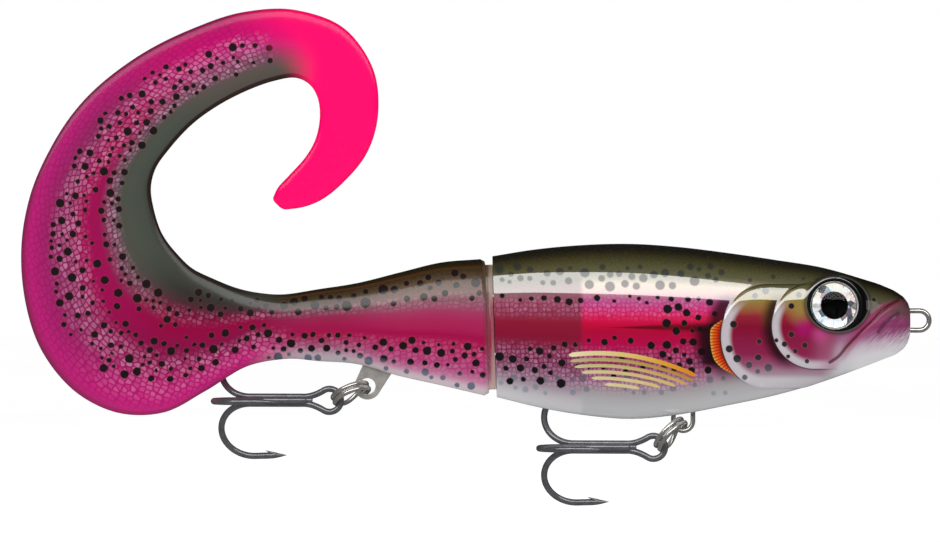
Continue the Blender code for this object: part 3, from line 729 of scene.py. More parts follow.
def faint_spots():
    """Spots painted grey: faded print low on the belly, and higher up painted reflection, black
    spots as they look under the highlight.
    """
    return scattered(
        5,
        [],
        ((36.0, 78.5), (-13.6, -10.6), 90, (0.38, 0.74), 0.8),
        ((40.5, 62.5), (6.3, 9.2), 200, (0.6, 0.95), 0.45),
        ((36.0, 78.5), (7.0, 10.2), 160, (0.4, 0.85), 0.5),
        ((8.0, 34.0), (7.4, 8.2), 14, (0.3, 0.5), 1.5),
        ((27.0, 36.0), (-12.0, -10.5), 14, (0.35, 0.5), 0.9),
    )


def flank_fields(mesh, side):
    """Store where each point lies on the flank, for the body's paint."""
    points = vertices_of(mesh)
    up = points[:, 2]
    behind = -points[:, 0] - lean_at(-points[:, 0]) * up
    back, belly, _half = through(BODY_STATIONS, behind).T
    level = np.clip((up - (back + belly) / 2) / ((back - belly) / 2), -1.0, 1.0)
    out = points[:, 1] * side
    behind, up = laid_out(behind, up, out)
    from_eye = points[:, 0] + EYE_CENTRE[0] - EYE_SHIFT[0]
    above_eye = points[:, 2] - EYE_CENTRE[2] - EYE_SHIFT[1]
    add_fields(
        mesh,
        behind=behind,
        up=up,
        level=level,
        out=out,
        front_gill=gill_depth(behind, up, FRONT_GILL),
        rear_gill=gill_depth(behind, up, REAR_GILL),
        mouth=distance_to_line(behind, up, MOUTH),
        lip=distance_to_line(behind, up, LIP),
        eye=np.hypot(from_eye / EYE_LONGER, above_eye),
        dots=spot_field(behind, up, body_spots()),
        faint_dots=spot_field(behind, up, faint_spots()),
    )


FLANK_FRONT = (
    (-1.0, (200, 200, 202)), (-0.85, (176, 175, 177)), (-0.7, (156, 150, 152)),
    (-0.56, (144, 98, 120)), (-0.42, (132, 44, 88)), (-0.3, (150, 20, 78)),
    (-0.16, (174, 0, 74)), (-0.08, (176, 0, 62)), (0.0, (172, 0, 52)),
    (0.08, (196, 2, 56)), (0.18, (214, 20, 86)), (0.26, (208, 44, 120)),
    (0.35, (186, 76, 138)), (0.41, (184, 118, 142)), (0.46, (200, 158, 148)),
    (0.54, (196, 176, 150)), (0.6, (140, 132, 106)), (0.67, (98, 97, 70)),
    (0.78, (80, 77, 47)), (0.86, (58, 54, 29)), (0.92, (33, 28, 16)),
    (0.97, (16, 13, 9)), (1.0, (10, 8, 6)),
)
FLANK_REAR = (
    (-1.0, (214, 214, 216)), (-0.85, (188, 184, 187)), (-0.7, (150, 136, 147)),
    (-0.55, (126, 88, 108)), (-0.42, (112, 42, 74)), (-0.25, (122, 28, 60)),
    (-0.08, (130, 12, 46)), (0.08, (136, 20, 48)), (0.2, (140, 44, 70)),
    (0.32, (146, 62, 84)), (0.42, (142, 90, 102)), (0.5, (128, 104, 102)),
    (0.6, (100, 92, 72)), (0.7, (92, 89, 62)), (0.78, (80, 76, 46)),
    (0.86, (58, 53, 28)), (0.92, (34, 29, 17)), (0.97, (17, 14, 9)),
    (1.0, (10, 8, 6)),
)


def body_paint():
    p = Paint("painted_shell")
    behind, up, level = p.field("behind"), p.field("up"), p.field("level")
    where = p.vector(behind, up, p.field("out"))
    grain = p.noise(where, 2.6, 3.0, 0.65)
    back = p.step(level, 0.42, 0.58)
    faint = p.step(p.field("faint_dots"), 0.16, -0.16)

    front, rear = p.ramp(level, FLANK_FRONT), p.ramp(level, FLANK_REAR)
    colour = p.mix(p.step(behind, 62.4, 63.6), front, rear)
    scales, shade = p.scales(behind, up, 0.86)
    upper_rows = p.times(p.between(level, 0.17, 0.4, 0.07), 0.7)
    lower_rows = p.between(level, -0.68, -0.22, 0.1)
    rows = p.add(upper_rows, lower_rows)
    shown = p.times(rows, p.step(behind, 36.0, 44.0))
    blush = p.times(scales, shown, p.add(0.1, p.times(shade, 0.36)))
    colour = p.over(colour, (206, 150, 188), blush)
    colour = p.over(colour, (104, 10, 54), p.flip(scales), shown, 0.3)
    speckle = p.noise(where, 4.5, 3.0, 0.7)
    colour = p.over(colour, (112, 108, 66), p.step(speckle, 0.52, 0.68), back, 0.25)
    colour = p.over(colour, (34, 31, 16), p.step(speckle, 0.48, 0.34), back, 0.35)

    colour = dark_line(p, colour, behind, up)
    colour = faint_paint(p, colour, level, faint)
    colour = dot_paint(p, colour, grain)
    colour = fin_stripes(p, colour, behind, up)
    colour = head_paint(p, colour, behind, level)
    colour = gill_paint(p, colour, behind, up, level)
    colour = face_lines(p, colour, behind, up)
    foil = p.times(p.between(level, -0.5, 0.45, 0.1), p.between(behind, 38.0, 63.0, 0.8))
    past_nose = p.flip(p.times(p.step(behind, 14.5, 11.0), 0.88))
    glossy = p.times(past_nose, p.flip(p.times(faint, 0.45)))
    fine = p.bump(p.noise(where, 8.0, 2.0), 0.008)
    return p.finish(
        Base_Color=colour,
        Roughness=p.add(0.4, p.times(grain, 0.16)),
        Metallic=p.times(foil, 0.1),
        Specular_IOR_Level=0.05,
        Coat_Weight=glossy,
        Coat_Roughness=0.03,
        Coat_IOR=2.1,
        Normal=p.bump(p.times(scales, rows), 0.02, 0.5, fine),
    )


def dark_line(p, colour, behind, up):
    """The dark red line along the flank, wider and darker towards the gill."""
    toward_gill = p.step(behind, 60.0, 38.0)
    half = p.add(0.15, p.times(toward_gill, 1.15))
    near = p.math("ABSOLUTE", p.add(up, 1.3))
    line = p.times(p.step(near, half, p.times(half, 0.1)), p.step(behind, 61.0, 52.0), 0.85)
    return p.over(colour, (74, 0, 12), line)


def faint_paint(p, colour, level, faint):
    # Grey of the faint spots: faded print low down, painted reflection over them higher up.
    tone = p.ramp(level, (
        (-0.8, (128, 134, 148)), (-0.6, (84, 86, 100)), (0.5, (60, 64, 70)),
        (0.8, (44, 46, 44)),
    ))
    return p.over(colour, tone, faint, 0.8)


def dot_paint(p, colour, grain):
    """Black spots with a thin brown edge."""
    dots = p.add(p.field("dots"), p.times(p.less(grain, 0.5), 0.35))
    colour = p.over(colour, (120, 70, 40), p.step(dots, 0.22, 0.06), 0.16)
    return p.over(colour, (20, 16, 20), p.step(dots, 0.08, -0.08))


def fin_stripes(p, colour, behind, up):
    """The breast fin: six gold stripes that curve down towards the head and tail."""
    bow = p.math("POWER", p.less(behind, 60.0), 2.0)
    place = p.math("DIVIDE", p.less(p.add(p.times(bow, -0.0125), -5.52), up), 1.16)
    stripe = p.math("FLOOR", place)
    within = p.math("ABSOLUTE", p.less(p.math("FRACT", place), 0.5))
    spread = p.times(stripe, stripe)
    front = p.add(41.7, p.times(spread, 0.42))
    rear = p.less(65.5, p.times(spread, 0.27))
    room = p.math("MINIMUM", p.less(behind, front), p.less(rear, behind))
    blunt = p.math("SQRT", p.math("MAXIMUM", p.math("MINIMUM", p.times(room, 1.3), 1.0), 0.0))
    wide = p.add(0.27, p.times(p.step(stripe, 1.0, 0.0), 0.09))
    on = p.times(p.step(p.less(p.times(blunt, wide), within), -0.05, 0.05), p.step(room, 0.0, 0.05))
    on = p.times(on, p.between(place, 0.0, 6.0, 0.01))
    toned = p.ramp(behind, (
        (42.0, (216, 128, 14)), (48.0, (214, 158, 48)), (55.0, (216, 192, 116)),
        (65.0, (226, 214, 172)),
    ))
    pale = p.ramp(place, (
        (0.0, (222, 172, 84)), (0.99, (214, 170, 84)), (1.1, (126, 108, 60)),
        (2.0, (160, 146, 92)), (3.0, (192, 182, 128)), (6.0, (206, 198, 158)),
    ))
    return p.over(colour, p.mix(p.step(place, 0.9, 1.1), toned, p.mix(0.6, toned, pale)), on)


def head_paint(p, colour, behind, level):
    """The face ahead of the gill covers: olive top, mauve cheek, pale chin."""
    face = p.ramp(level, (
        (-1.0, (205, 205, 207)), (-0.75, (196, 192, 196)), (-0.5, (178, 162, 174)),
        (-0.3, (150, 104, 134)), (-0.1, (126, 52, 92)), (0.08, (134, 72, 104)),
        (0.22, (116, 72, 84)), (0.36, (82, 74, 62)), (0.55, (80, 78, 56)),
        (0.75, (62, 58, 36)), (0.88, (36, 32, 18)), (1.0, (10, 8, 6)),
    ))
    return p.over(colour, face, p.step(behind, 20.0, 14.0))


def gill_paint(p, colour, behind, up, level):
    """The two gill covers with pale rims, the red gill, and dark airbrush behind the covers
    deepened as painted shade where their shadow falls.
    """
    rear, front = p.field("rear_gill"), p.field("front_gill")
    ahead = p.step(behind, 14.5, 19.0)
    cover = p.ramp(up, (
        (-16.0, (206, 205, 206)), (-11.0, (176, 172, 175)), (-9.9, (156, 128, 144)),
        (-8.3, (142, 76, 108)), (-6.3, (132, 30, 72)), (-1.2, (126, 4, 44)),
        (0.8, (140, 30, 48)), (2.2, (146, 92, 54)), (3.8, (140, 124, 62)),
        (5.4, (146, 138, 102)), (6.0, (96, 92, 58)), (8.0, (74, 70, 42)),
        (10.0, (40, 35, 20)), (12.0, (10, 8, 6)),
    ))
    below_back = p.step(level, 0.8, 0.62)
    # Dark patch behind the red gill: the lure's airbrushed dark, with painted shade below the rear
    # cover.
    airbrush_and_painted_shade = p.times(p.step(rear, -6.8, -3.4), p.between(up, -8.5, -1.0, 0.8))
    airbrush_and_painted_shade = p.times(airbrush_and_painted_shade, p.step(behind, 34.0, 36.5), 0.94)
    colour = p.over(colour, (24, 2, 10), airbrush_and_painted_shade)
    # Each cover darkens a band behind its rear edge: airbrush, and painted shade where the raised
    # cover's shadow falls.
    for depth, wide, far, close in ((rear, 2.0, 4.2, 1.4), (front, 1.6, 2.8, 0.5)):
        shade = p.times(p.step(depth, -far, -close), p.step(depth, 0.1, 0.0), ahead)
        shade = p.times(shade, p.step(level, -0.75, -0.4), p.step(up, 6.0, 3.0), 0.9)
        colour = p.over(colour, (20, 8, 12), shade)
        if depth is rear:
            colour = gill_crescent(p, colour, behind, up, depth)
        inside = p.times(p.step(depth, -0.04, 0.06), ahead)
        colour = p.over(colour, cover, inside, below_back)
        rim = p.times(p.step(depth, wide + 0.5, wide - 0.7), inside, p.step(up, 4.4, 1.0), 0.94)
        colour = p.over(colour, (190, 185, 191), rim)
        if depth is front:
            colour = cheek_glow(p, colour, behind, up, inside)
        if depth is rear:
            gold = p.times(p.between(behind, 25.2, 29.0, 1.4), p.between(up, -0.6, 4.6, 1.6))
            colour = p.over(colour, (150, 112, 42), gold, inside, 0.6)
        edge = p.times(p.between(depth, -0.12, 0.1, 0.06), ahead, below_back)
        colour = p.over(colour, (30, 18, 22), edge, p.step(up, -12.6, -9.5), 0.7)
    dots = p.field("dots")
    halo = p.times(p.step(dots, 0.22, 0.08), p.step(behind, 37.5, 37.0), 0.15)
    colour = p.over(colour, (176, 120, 80), halo)
    spot = p.times(p.step(dots, 0.07, -0.07), p.step(behind, 37.6, 37.2))
    tone = p.ramp(up, (
        (-10.0, (92, 94, 106)), (-7.0, (40, 38, 46)), (3.0, (24, 20, 22)),
        (6.0, (52, 54, 60)),
    ))
    return p.over(colour, tone, spot)


def near(p, behind, up, place, reach):
    """1 at a place on the flank, falling to 0 at a distance."""
    squares = [p.math("POWER", p.less(at, middle), 2.0) for at, middle in zip((behind, up), place)]
    return p.step(p.math("SQRT", p.add(*squares)), reach, 0.0)


def cheek_glow(p, colour, behind, up, inside):
    """Gold under the eye, magenta below it, and mauve that pales towards the mouth."""
    mauve = p.times(inside, p.step(behind, 21.5, 14.0), p.step(up, 0.5, -3.5), 0.7)
    colour = p.over(colour, (176, 118, 150), mauve)
    for place, reach, glow in (
        ((22.3, 1.6), 3.4, (150, 136, 62)),
        ((21.6, -1.4), 2.8, (178, 6, 116)),
        ((18.4, -2.6), 2.6, (196, 66, 142)),
    ):
        colour = p.over(colour, glow, near(p, behind, up, place, reach), inside, 0.6)
    return colour


def gill_crescent(p, colour, behind, up, depth):
    """The orange gill behind the rear cover, with fine dark rays and a yellow rim."""
    turn = p.math("ARCTAN2", p.add(up, 3.0), p.less(behind, 28.5))
    share = p.times(p.step(turn, -0.98, -0.35), p.step(turn, 0.42, 0.1))
    outer = p.times(share, -2.1)
    within = p.times(p.step(p.less(depth, outer), -0.06, 0.1), p.step(depth, 0.05, -0.05))
    within = p.times(within, p.step(share, 0.02, 0.12))
    flame = p.ramp(p.math("DIVIDE", depth, p.less(outer, 0.01)), (
        (0.0, (92, 14, 4)), (0.35, (206, 52, 10)), (0.7, (228, 92, 26)),
        (0.88, (226, 140, 52)), (1.0, (226, 186, 92)),
    ))
    rays = p.step(p.math("SINE", p.times(turn, 110.0)), 0.2, 0.8)
    flame = p.mix(p.times(rays, 0.7), flame, (70, 12, 4))
    return p.over(colour, flame, within)


def face_lines(p, colour, behind, up):
    """The mouth and lip lines, streaks of mauve below them, and the eye's dark surround."""
    mouth, lip, eye = p.field("mouth"), p.field("lip"), p.field("eye")
    below = p.step(p.add(up, p.times(behind, 0.9)), 7.2, 5.4)
    slanted = p.vector(p.times(p.add(behind, up), 2.2), p.times(p.less(behind, up), 0.35))
    streaks = p.step(p.noise(slanted, 1.0, 2.0), 0.35, 0.65)
    mauve = p.times(below, p.step(behind, 16.0, 8.0), p.step(up, -6.5, -1.0), streaks)
    colour = p.over(colour, (120, 46, 88), mauve, 0.8)
    upper_lip = p.times(p.step(mouth, 1.6, 0.5), p.step(behind, 16.5, 12.5), p.step(up, 4.2, 2.6))
    colour = p.over(colour, (146, 48, 92), upper_lip, 0.62)
    colour = p.over(colour, (78, 8, 34), p.step(mouth, 0.42, 0.16), 0.8)
    colour = p.over(colour, (44, 20, 30), p.step(lip, 0.6, 0.1), 0.55)
    colour = p.over(colour, (40, 38, 30), p.step(eye, 6.0, 5.3), 0.7)
    colour = p.over(colour, (84, 82, 72), p.step(eye, 5.35, 5.2))
    return p.over(colour, (10, 9, 11), p.step(eye, 5.15, 5.0))


def lengthwise(behind, up):
    """A frame in the middle plane whose Z axis runs towards the tail."""
    return frame_at(behind, 0.0, up) @ Matrix.Rotation(math.radians(-90), 4, "Y")


def make_body():
    paint = body_paint()
    for side_name, side in SIDES.items():
        name = "body_skin_" + side_name
        skin = new_mesh(name, *skin_shape(side))
        deep = eye_frame(side) @ Matrix.Translation((0, 0, -EYE_POCKET_DEPTH * MM))
        pocket = [(0.0, 0.0), (EYE_POCKET_RADIUS, 0.0), (EYE_POCKET_RADIUS, 4.0), (0.0, 4.0)]
        chamber = moved(turned(RATTLE_CHAMBER, 72), lengthwise(RATTLE_FROM, RATTLE_UP))
        cut(skin, joined("pocket", [moved(turned(pocket), deep), chamber]))
        flank_fields(skin.data, side)
        dress(skin, "front_body", paint, "painted_shell", "body_shell_" + side_name)


def make_bosses(material):
    """The two round bosses that hold the hinge pin inside the rear cup."""
    shapes = []
    for low, high in BOSSES:
        face = BOSS_RADIUS - BOSS_ROUND
        side = [(BOSS_RADIUS, low + BOSS_ROUND), (BOSS_RADIUS, high - BOSS_ROUND)]
        profile = [(0.0, low), (face, low), *side, (face, high), (0.0, high)]
        shapes.append(moved(turned(profile, 72), hinge_frame()))
    dress(joined("hinge_bosses", shapes), "front_body", material, "painted_shell")


# ---------------------------------------------------------------- soft tail


def tail_stations():
    """Rows of (inner behind, up, outer behind, up, half thickness, squareness)."""
    lean = hinge_frame()
    rows = []
    for local, edges, half in TAIL_FRONT:
        row = []
        for up in edges:
            edge = lean @ (Vector((local, 0.0, up)) * MM) / MM
            row += [-edge.x, edge.z]
        rows.append((*row, half, BODY_POWER))
    for inner, outer, half, power in TAIL_ROWS:
        rows.append((*inner, *outer, half, power))
    return np.array(rows)


def along_tail(rows):
    """Distance of each row along the tail's middle, and the row's number."""
    middle = (rows[:, 0:2] + rows[:, 2:4]) / 2
    return travelled(middle), np.arange(len(rows)) - 1.0


def tail_slices():
    """Even slices of the tail from its front lip to the tip, and their places along it."""
    rows = tail_stations()
    lip, face, rest = rows[:2], rows[2], rows[3:]
    along_rows, number = along_tail(rest)
    table = np.column_stack((along_rows, rest, number))
    places = np.linspace(0.0, along_rows[-1], TAIL_SLICES)
    slices = through(table, places)
    slices[:, 6] = np.interp(places, along_rows, number)
    face_row = np.concatenate((face, [-1.06]))
    soft = []
    for share in (0.25, 0.55, 0.8):
        mixed = face_row + (slices[0] - face_row) * share
        mixed[4] = face_row[4] + (slices[0][4] - face_row[4]) * math.sqrt(1 - (1 - share) ** 2)
        soft.append(mixed)
    lip_rows = np.column_stack((lip, (-1.1, -1.08)))
    slices = np.vstack((lip_rows, face_row, *soft, slices))
    return slices, np.concatenate(([-1.6, -0.92, -0.85, -0.64, -0.38, -0.17], places))


def tail_shape():
    """Points and faces of the tail, and its fields: along, across, both edges and row."""
    turns = np.linspace(0, 2 * math.pi, TAIL_RING_POINTS, endpoint=False)
    points, fields = [], []
    for row, along in zip(*tail_slices()):
        out, rise = evened(turns, row[5])
        centre = (row[0:2] + row[2:4]) / 2
        reach = (row[0:2] - row[2:4]) / 2
        tall = np.linalg.norm(reach)
        at = centre + np.outer(rise, reach)
        points.append(np.column_stack((-at[:, 0], row[4] * out, at[:, 1])))
        share = (1 - rise) / 2
        edges = (share, share * 2 * tall, (1 - share) * 2 * tall)
        ends = [np.full(len(turns), value) for value in (along, row[6])]
        fields.append(np.column_stack((ends[0], *edges, ends[1])))
    tip, before = points[-1], points[-5]
    centre = tip.mean(axis=0)
    ahead = centre - before.mean(axis=0)
    ahead /= np.linalg.norm(ahead)
    for shrink, beyond in ((0.8, 0.3), (0.45, 0.5)):
        points.append(centre + (tip - centre) * shrink + ahead * beyond)
        fields.append(fields[-1])
    return np.vstack(points), capped(len(points), TAIL_RING_POINTS), np.vstack(fields)


def tail_spots(edges):
    """Dark spots of the tail as (behind, up, radius); edges gives both edges at a row."""
    rng = np.random.default_rng(23)
    spots = []
    for _ in range(3600):
        row, share, keep = rng.uniform(-1.0, 18.4), rng.uniform(0.05, 0.97), rng.random()
        radius = 0.36 + 0.48 * rng.random() ** 1.5
        radius += 0.14 if row < 4.5 and share < 0.4 else 0.0
        if spot_chance(row, share) > keep:
            inner_behind, inner_up, outer_behind, outer_up = edges(row)
            behind = inner_behind + (outer_behind - inner_behind) * share
            up = inner_up + (outer_up - inner_up) * share
            keep_if_clear(spots, behind, up, radius, 0.42)
    return spots


def spot_chance(row, share):
    """How often a spot shows at a place on the tail."""
    if row < 4.5:
        return 0.85 if share > 0.62 or 0.09 < share < 0.3 else 0.0
    if row < 7.5:
        return 0.85 if 0.1 < share < 0.26 or 0.42 < share < 0.75 else 0.0
    if row > 16.5:
        return 0.3 if 0.22 < share < 0.62 else 0.0
    if row > 13.0:
        return 0.75 if 0.24 < share < 0.74 else 0.0
    if 0.24 < share < 0.37 or 0.5 < share < 0.8:
        return 0.86
    return 0.06 if 0.37 < share < 0.5 else 0.0


def tail_fields(mesh, fields):
    """Store where each point lies on the tail, for the tail's paint."""
    along, share, inner, outer, row = fields.T
    stations = tail_stations()[3:]
    middle, numbers = along_tail(stations)
    table = np.column_stack((middle, stations))

    def edges(number):
        return through(table, [np.interp(number, numbers, middle)])[0][:4]

    points = vertices_of(mesh)
    dots = spot_field(-points[:, 0], points[:, 2], tail_spots(edges))
    add_fields(mesh, along=along, across=share, inner=inner, outer=outer, row=row, dots=dots)


TAIL_ROOT = (
    (0.0, (30, 24, 10)), (0.05, (50, 41, 20)), (0.1, (84, 66, 46)),
    (0.17, (110, 86, 70)), (0.24, (128, 96, 88)), (0.32, (150, 92, 108)),
    (0.39, (170, 58, 100)), (0.46, (176, 36, 88)), (0.53, (174, 26, 82)),
    (0.58, (168, 2, 72)), (0.65, (176, 14, 82)), (0.74, (182, 42, 106)),
    (0.84, (182, 66, 124)), (0.91, (200, 130, 164)), (0.96, (218, 196, 204)),
    (1.0, (224, 214, 216)),
)
TAIL_STALK = (
    (0.0, (30, 24, 10)), (0.1, (70, 58, 34)), (0.2, (86, 68, 54)),
    (0.3, (120, 70, 82)), (0.4, (156, 36, 80)), (0.52, (166, 14, 74)),
    (0.62, (166, 8, 72)), (0.7, (160, 34, 84)), (0.8, (160, 90, 122)),
    (0.9, (186, 164, 174)), (1.0, (204, 198, 200)),
)
TAIL_FLARE = (
    (0.0, (70, 70, 62)), (0.08, (62, 64, 56)), (0.15, (52, 50, 46)),
    (0.21, (74, 44, 52)), (0.27, (112, 8, 50)), (0.34, (146, 0, 62)),
    (0.42, (152, 0, 66)), (0.5, (142, 8, 70)), (0.6, (142, 18, 78)),
    (0.7, (172, 18, 98)), (0.8, (198, 24, 120)), (0.9, (206, 26, 126)),
    (1.0, (192, 40, 118)),
)
TAIL_CURL = (
    (0.0, (58, 54, 48)), (0.06, (72, 78, 70)), (0.15, (76, 82, 72)),
    (0.23, (80, 80, 72)), (0.29, (98, 76, 82)), (0.35, (134, 44, 82)),
    (0.4, (160, 10, 82)), (0.52, (168, 2, 84)), (0.58, (158, 20, 90)),
    (0.65, (144, 40, 92)), (0.74, (150, 38, 98)), (0.84, (176, 30, 112)),
    (0.93, (196, 30, 122)), (1.0, (150, 34, 84)),
)
TAIL_TOP = (
    (0.0, (84, 74, 70)), (0.16, (90, 84, 76)), (0.28, (106, 78, 86)),
    (0.38, (136, 62, 96)), (0.48, (178, 46, 116)), (0.6, (200, 16, 116)),
    (0.75, (208, 4, 114)), (0.9, (200, 8, 110)), (1.0, (156, 18, 80)),
)


def dimmed(stops, share=0.9):
    """The same colours, a little darker."""
    return tuple((at, tuple(part * share for part in colour)) for at, colour in stops)


def tail_print(p, across, row):
    """The tail's colours from its inner edge to the outer one, changing along it."""
    colour = p.ramp(across, dimmed(TAIL_ROOT))
    for start, end, stops in (
        (0.8, 2.8, TAIL_STALK),
        (3.2, 5.2, TAIL_FLARE),
        (7.5, 10.5, TAIL_CURL),
        (14.5, 17.0, TAIL_TOP),
    ):
        colour = p.over(colour, p.ramp(across, dimmed(stops)), p.step(row, start, end))
    return colour


def tail_scale_zone(p, across, row, root, curl):
    """Where scales are printed: in two bands, which narrow along the curl."""
    root_zone = p.add(p.between(across, 0.64, 0.9, 0.05), p.between(across, 0.25, 0.36, 0.04))
    flare_zone = p.times(p.between(across, 0.6, 0.88, 0.06), p.step(row, 10.0, 8.0), 0.6)
    broad = p.times(p.step(row, 4.5, 6.0), p.step(row, 11.0, 9.0), 0.07)
    drawn_in = p.times(p.step(row, 12.0, 15.0), 0.18)
    stripe_end = p.less(p.add(0.52, broad), drawn_in)
    outer_end = p.less(0.74, p.times(drawn_in, 0.35))
    past_stripe = p.step(across, p.less(stripe_end, 0.07), p.add(stripe_end, 0.07))
    before_edge = p.step(across, p.add(outer_end, 0.07), p.less(outer_end, 0.07))
    outer_zone = p.times(past_stripe, before_edge)
    inner_zone = p.times(p.between(across, 0.25, 0.35, 0.035), p.flip(p.times(broad, 8.0)))
    curl_zone = p.add(inner_zone, p.math("MAXIMUM", outer_zone, flare_zone))
    return p.add(p.times(root_zone, root, 0.45), p.times(curl_zone, curl))


def tail_dots(p, colour, across, grain, root):
    """Dark spots with a thin brown edge, greyer low on the root."""
    dots = p.add(p.field("dots"), p.times(p.less(grain, 0.5), 0.3))
    colour = p.over(colour, (132, 74, 46), p.step(dots, 0.22, 0.06), 0.14)
    pale_low = p.times(root, p.step(across, 0.84, 0.93))
    tone = p.mix(pale_low, (26, 18, 20), (98, 104, 122))
    return p.over(colour, tone, p.step(dots, 0.07, -0.07))


def tail_edges(p, colour, along, across, row, root):
    """Lines along both edges and the back, and the paler front rim and lip."""
    curl = p.step(row, 4.5, 6.5)
    outer_line = p.times(p.step(p.field("outer"), 0.95, 0.75), curl, 0.5)
    colour = p.over(colour, (118, 34, 76), outer_line)
    inner_line = p.times(p.step(p.field("inner"), 0.85, 0.65), curl, 0.85)
    colour = p.over(colour, (36, 24, 20), inner_line)
    back_line = p.times(p.between(across, 0.05, 0.062, 0.012), root, 0.4)
    colour = p.over(colour, (120, 66, 22), back_line)
    colour = p.over(colour, (214, 176, 160), p.step(along, -0.2, -0.85), 0.15)
    lip = p.ramp(across, (
        (0.0, (120, 96, 56)), (0.2, (190, 168, 156)), (0.38, (200, 150, 156)),
        (0.46, (186, 52, 96)), (0.66, (184, 50, 94)), (0.78, (200, 140, 150)),
        (1.0, (214, 186, 176)),
    ))
    return p.over(colour, lip, p.step(along, -1.3, -1.5))


def tail_paint():
    p = Paint("soft_tail")
    along, across, row = p.field("along"), p.field("across"), p.field("row")
    where = p.place()
    grain = p.noise(where, 1.9, 3.0, 0.6)
    root, curl = p.step(row, 5.0, 3.5), p.step(row, 3.5, 5.0)

    colour = tail_print(p, across, row)
    scales, shade = p.scales(along, p.field("inner"), 0.92, 1.2)
    zone = tail_scale_zone(p, across, row, root, curl)
    faded = p.step(row, 18.6, 17.4)
    pale = p.times(scales, zone, faded, p.add(0.06, p.times(shade, 0.36)))
    colour = p.over(colour, (214, 158, 192), pale)
    net = p.times(faded, p.math("MAXIMUM", zone, p.times(curl, p.between(across, 0.5, 0.95, 0.05))))
    colour = p.over(colour, (108, 6, 56), p.flip(scales), net, 0.3)
    mottled = p.times(p.step(grain, 0.42, 0.62), p.step(across, 0.26, 0.14), root, 0.45)
    colour = p.over(colour, (46, 38, 20), mottled)

    colour = tail_dots(p, colour, across, grain, root)
    colour = tail_edges(p, colour, along, across, row, root)

    start = p.add(row, p.times(across, 1.2))
    hot = p.mix(p.times(grain, 0.3), (255, 0, 104), (250, 0, 88))
    colour = p.over(colour, hot, p.step(start, 18.4, 20.6))
    fine = p.bump(p.noise(where, 5.0, 2.0), 0.01)
    return p.finish(
        Base_Color=colour,
        Roughness=p.add(0.34, p.times(grain, 0.14)),
        Specular_IOR_Level=0.05,
        Coat_Weight=p.add(0.32, p.times(p.step(row, 8.0, 4.0), 0.33)),
        Coat_Roughness=0.15,
        Coat_IOR=1.55,
        Normal=p.bump(p.times(scales, zone), 0.015, 0.5, fine),
    )


def make_tail():
    points, faces, fields = tail_shape()
    tail = new_mesh("tail_skin", points, faces, sharp=60)
    tail_fields(tail.data, fields)
    dress(tail, "tail", tail_paint(), "soft_tail", "soft_tail")


# ---------------------------------------------------------------- eyes


def eye_print():
    p = Paint("eye_print")
    radius, turn = p.field("radius"), p.field("turn")
    rays = p.noise(p.vector(p.times(turn, 7.0), p.times(radius, 0.35)), 1.0, 3.0, 0.8)
    around = p.vector(p.field("flat_x"), p.field("flat_y"))
    facets = p.parts_of(p.voronoi(around, randomness=1.0, output=1, scale=0.8))
    shade, hue = facets[0], facets[1]
    iris = p.ramp(rays, (
        (0.3, (150, 152, 154)), (0.45, (226, 228, 226)), (0.55, (255, 255, 255)),
        (0.7, (255, 255, 255)),
    ))
    prism = p.ramp(hue, (
        (0.0, (236, 190, 210)), (0.2, (244, 240, 220)), (0.45, (255, 255, 252)),
        (0.75, (255, 255, 255)), (0.9, (190, 220, 240)), (1.0, (206, 196, 240)),
    ))
    colour = p.mix(1.0, iris, prism, "MULTIPLY")
    colour = p.over(colour, (46, 50, 58), p.step(shade, 0.32, 0.12), 0.8)
    colour = p.over(colour, (60, 60, 62), p.between(radius, 4.02, 4.12, 0.04))
    colour = p.over(colour, (250, 250, 248), p.step(radius, 4.12, 4.2))
    colour = p.over(colour, (3, 3, 4), p.step(radius, 2.56, 2.5))
    crack = p.bump(p.times(shade, p.step(radius, 2.5, 2.6)), 0.06, 0.8)
    ring = p.times(p.step(radius, 2.4, 2.46), p.step(radius, 4.1, 3.95))
    # Painted glow: the iris ring emits its own colour, more on lighter facets, so the foil looks
    # lit, though it is no lamp.
    glow = p.times(ring, p.step(shade, 0.2, 0.5), 0.62)
    return p.finish(
        Base_Color=colour,
        Metallic=p.times(ring, 0.1),
        Roughness=0.3,
        Specular_IOR_Level=0.06,
        Emission_Color=colour,
        Emission_Strength=glow,
        Normal=crack,
    )


def lens_glass():
    p = Paint("eye_lens")
    haze = p.noise(p.place(), 1.2, 2.0)
    return p.finish(
        Base_Color=(250, 250, 250),
        Roughness=p.times(haze, 0.02),
        Transmission_Weight=1.0,
        IOR=1.25,
    )


def make_eyes():
    paint, glass = eye_print(), lens_glass()
    disc = [(r, EYE_PRINT_TOP) for r in np.linspace(0.0, EYE_PRINT_RADIUS, 45)]
    disc += [(EYE_PRINT_RADIUS, EYE_PRINT_BASE), (0.0, EYE_PRINT_BASE)]
    wide, tall = EYE_DOME_RADIUS, EYE_DOME_RISE
    dome = [(wide * math.sin(a), tall * math.cos(a)) for a in np.radians(np.arange(0, 90, 3))]
    dome += [(wide, 0.0), (wide, -0.3), (wide - 0.06, -0.36), (0.0, -0.36)]
    for side_name, side in SIDES.items():
        frame = eye_frame(side)
        points, faces = turned(disc)
        back = new_mesh("eye_print_" + side_name, *moved((points, faces), frame))
        x, y = points[:, 0], points[:, 1]
        turn = np.abs(np.arctan2(y, x))
        add_fields(back.data, radius=np.hypot(x, y), turn=turn, flat_x=x, flat_y=y)
        dress(back, "front_body", paint, "eye_print", "eye_disc_" + side_name)
        lens = new_mesh("eye_dome_" + side_name, *moved(turned(dome), frame))
        dress(lens, "front_body", glass, "eye_lens", "eye_lens_" + side_name)


# ---------------------------------------------------------------- metal


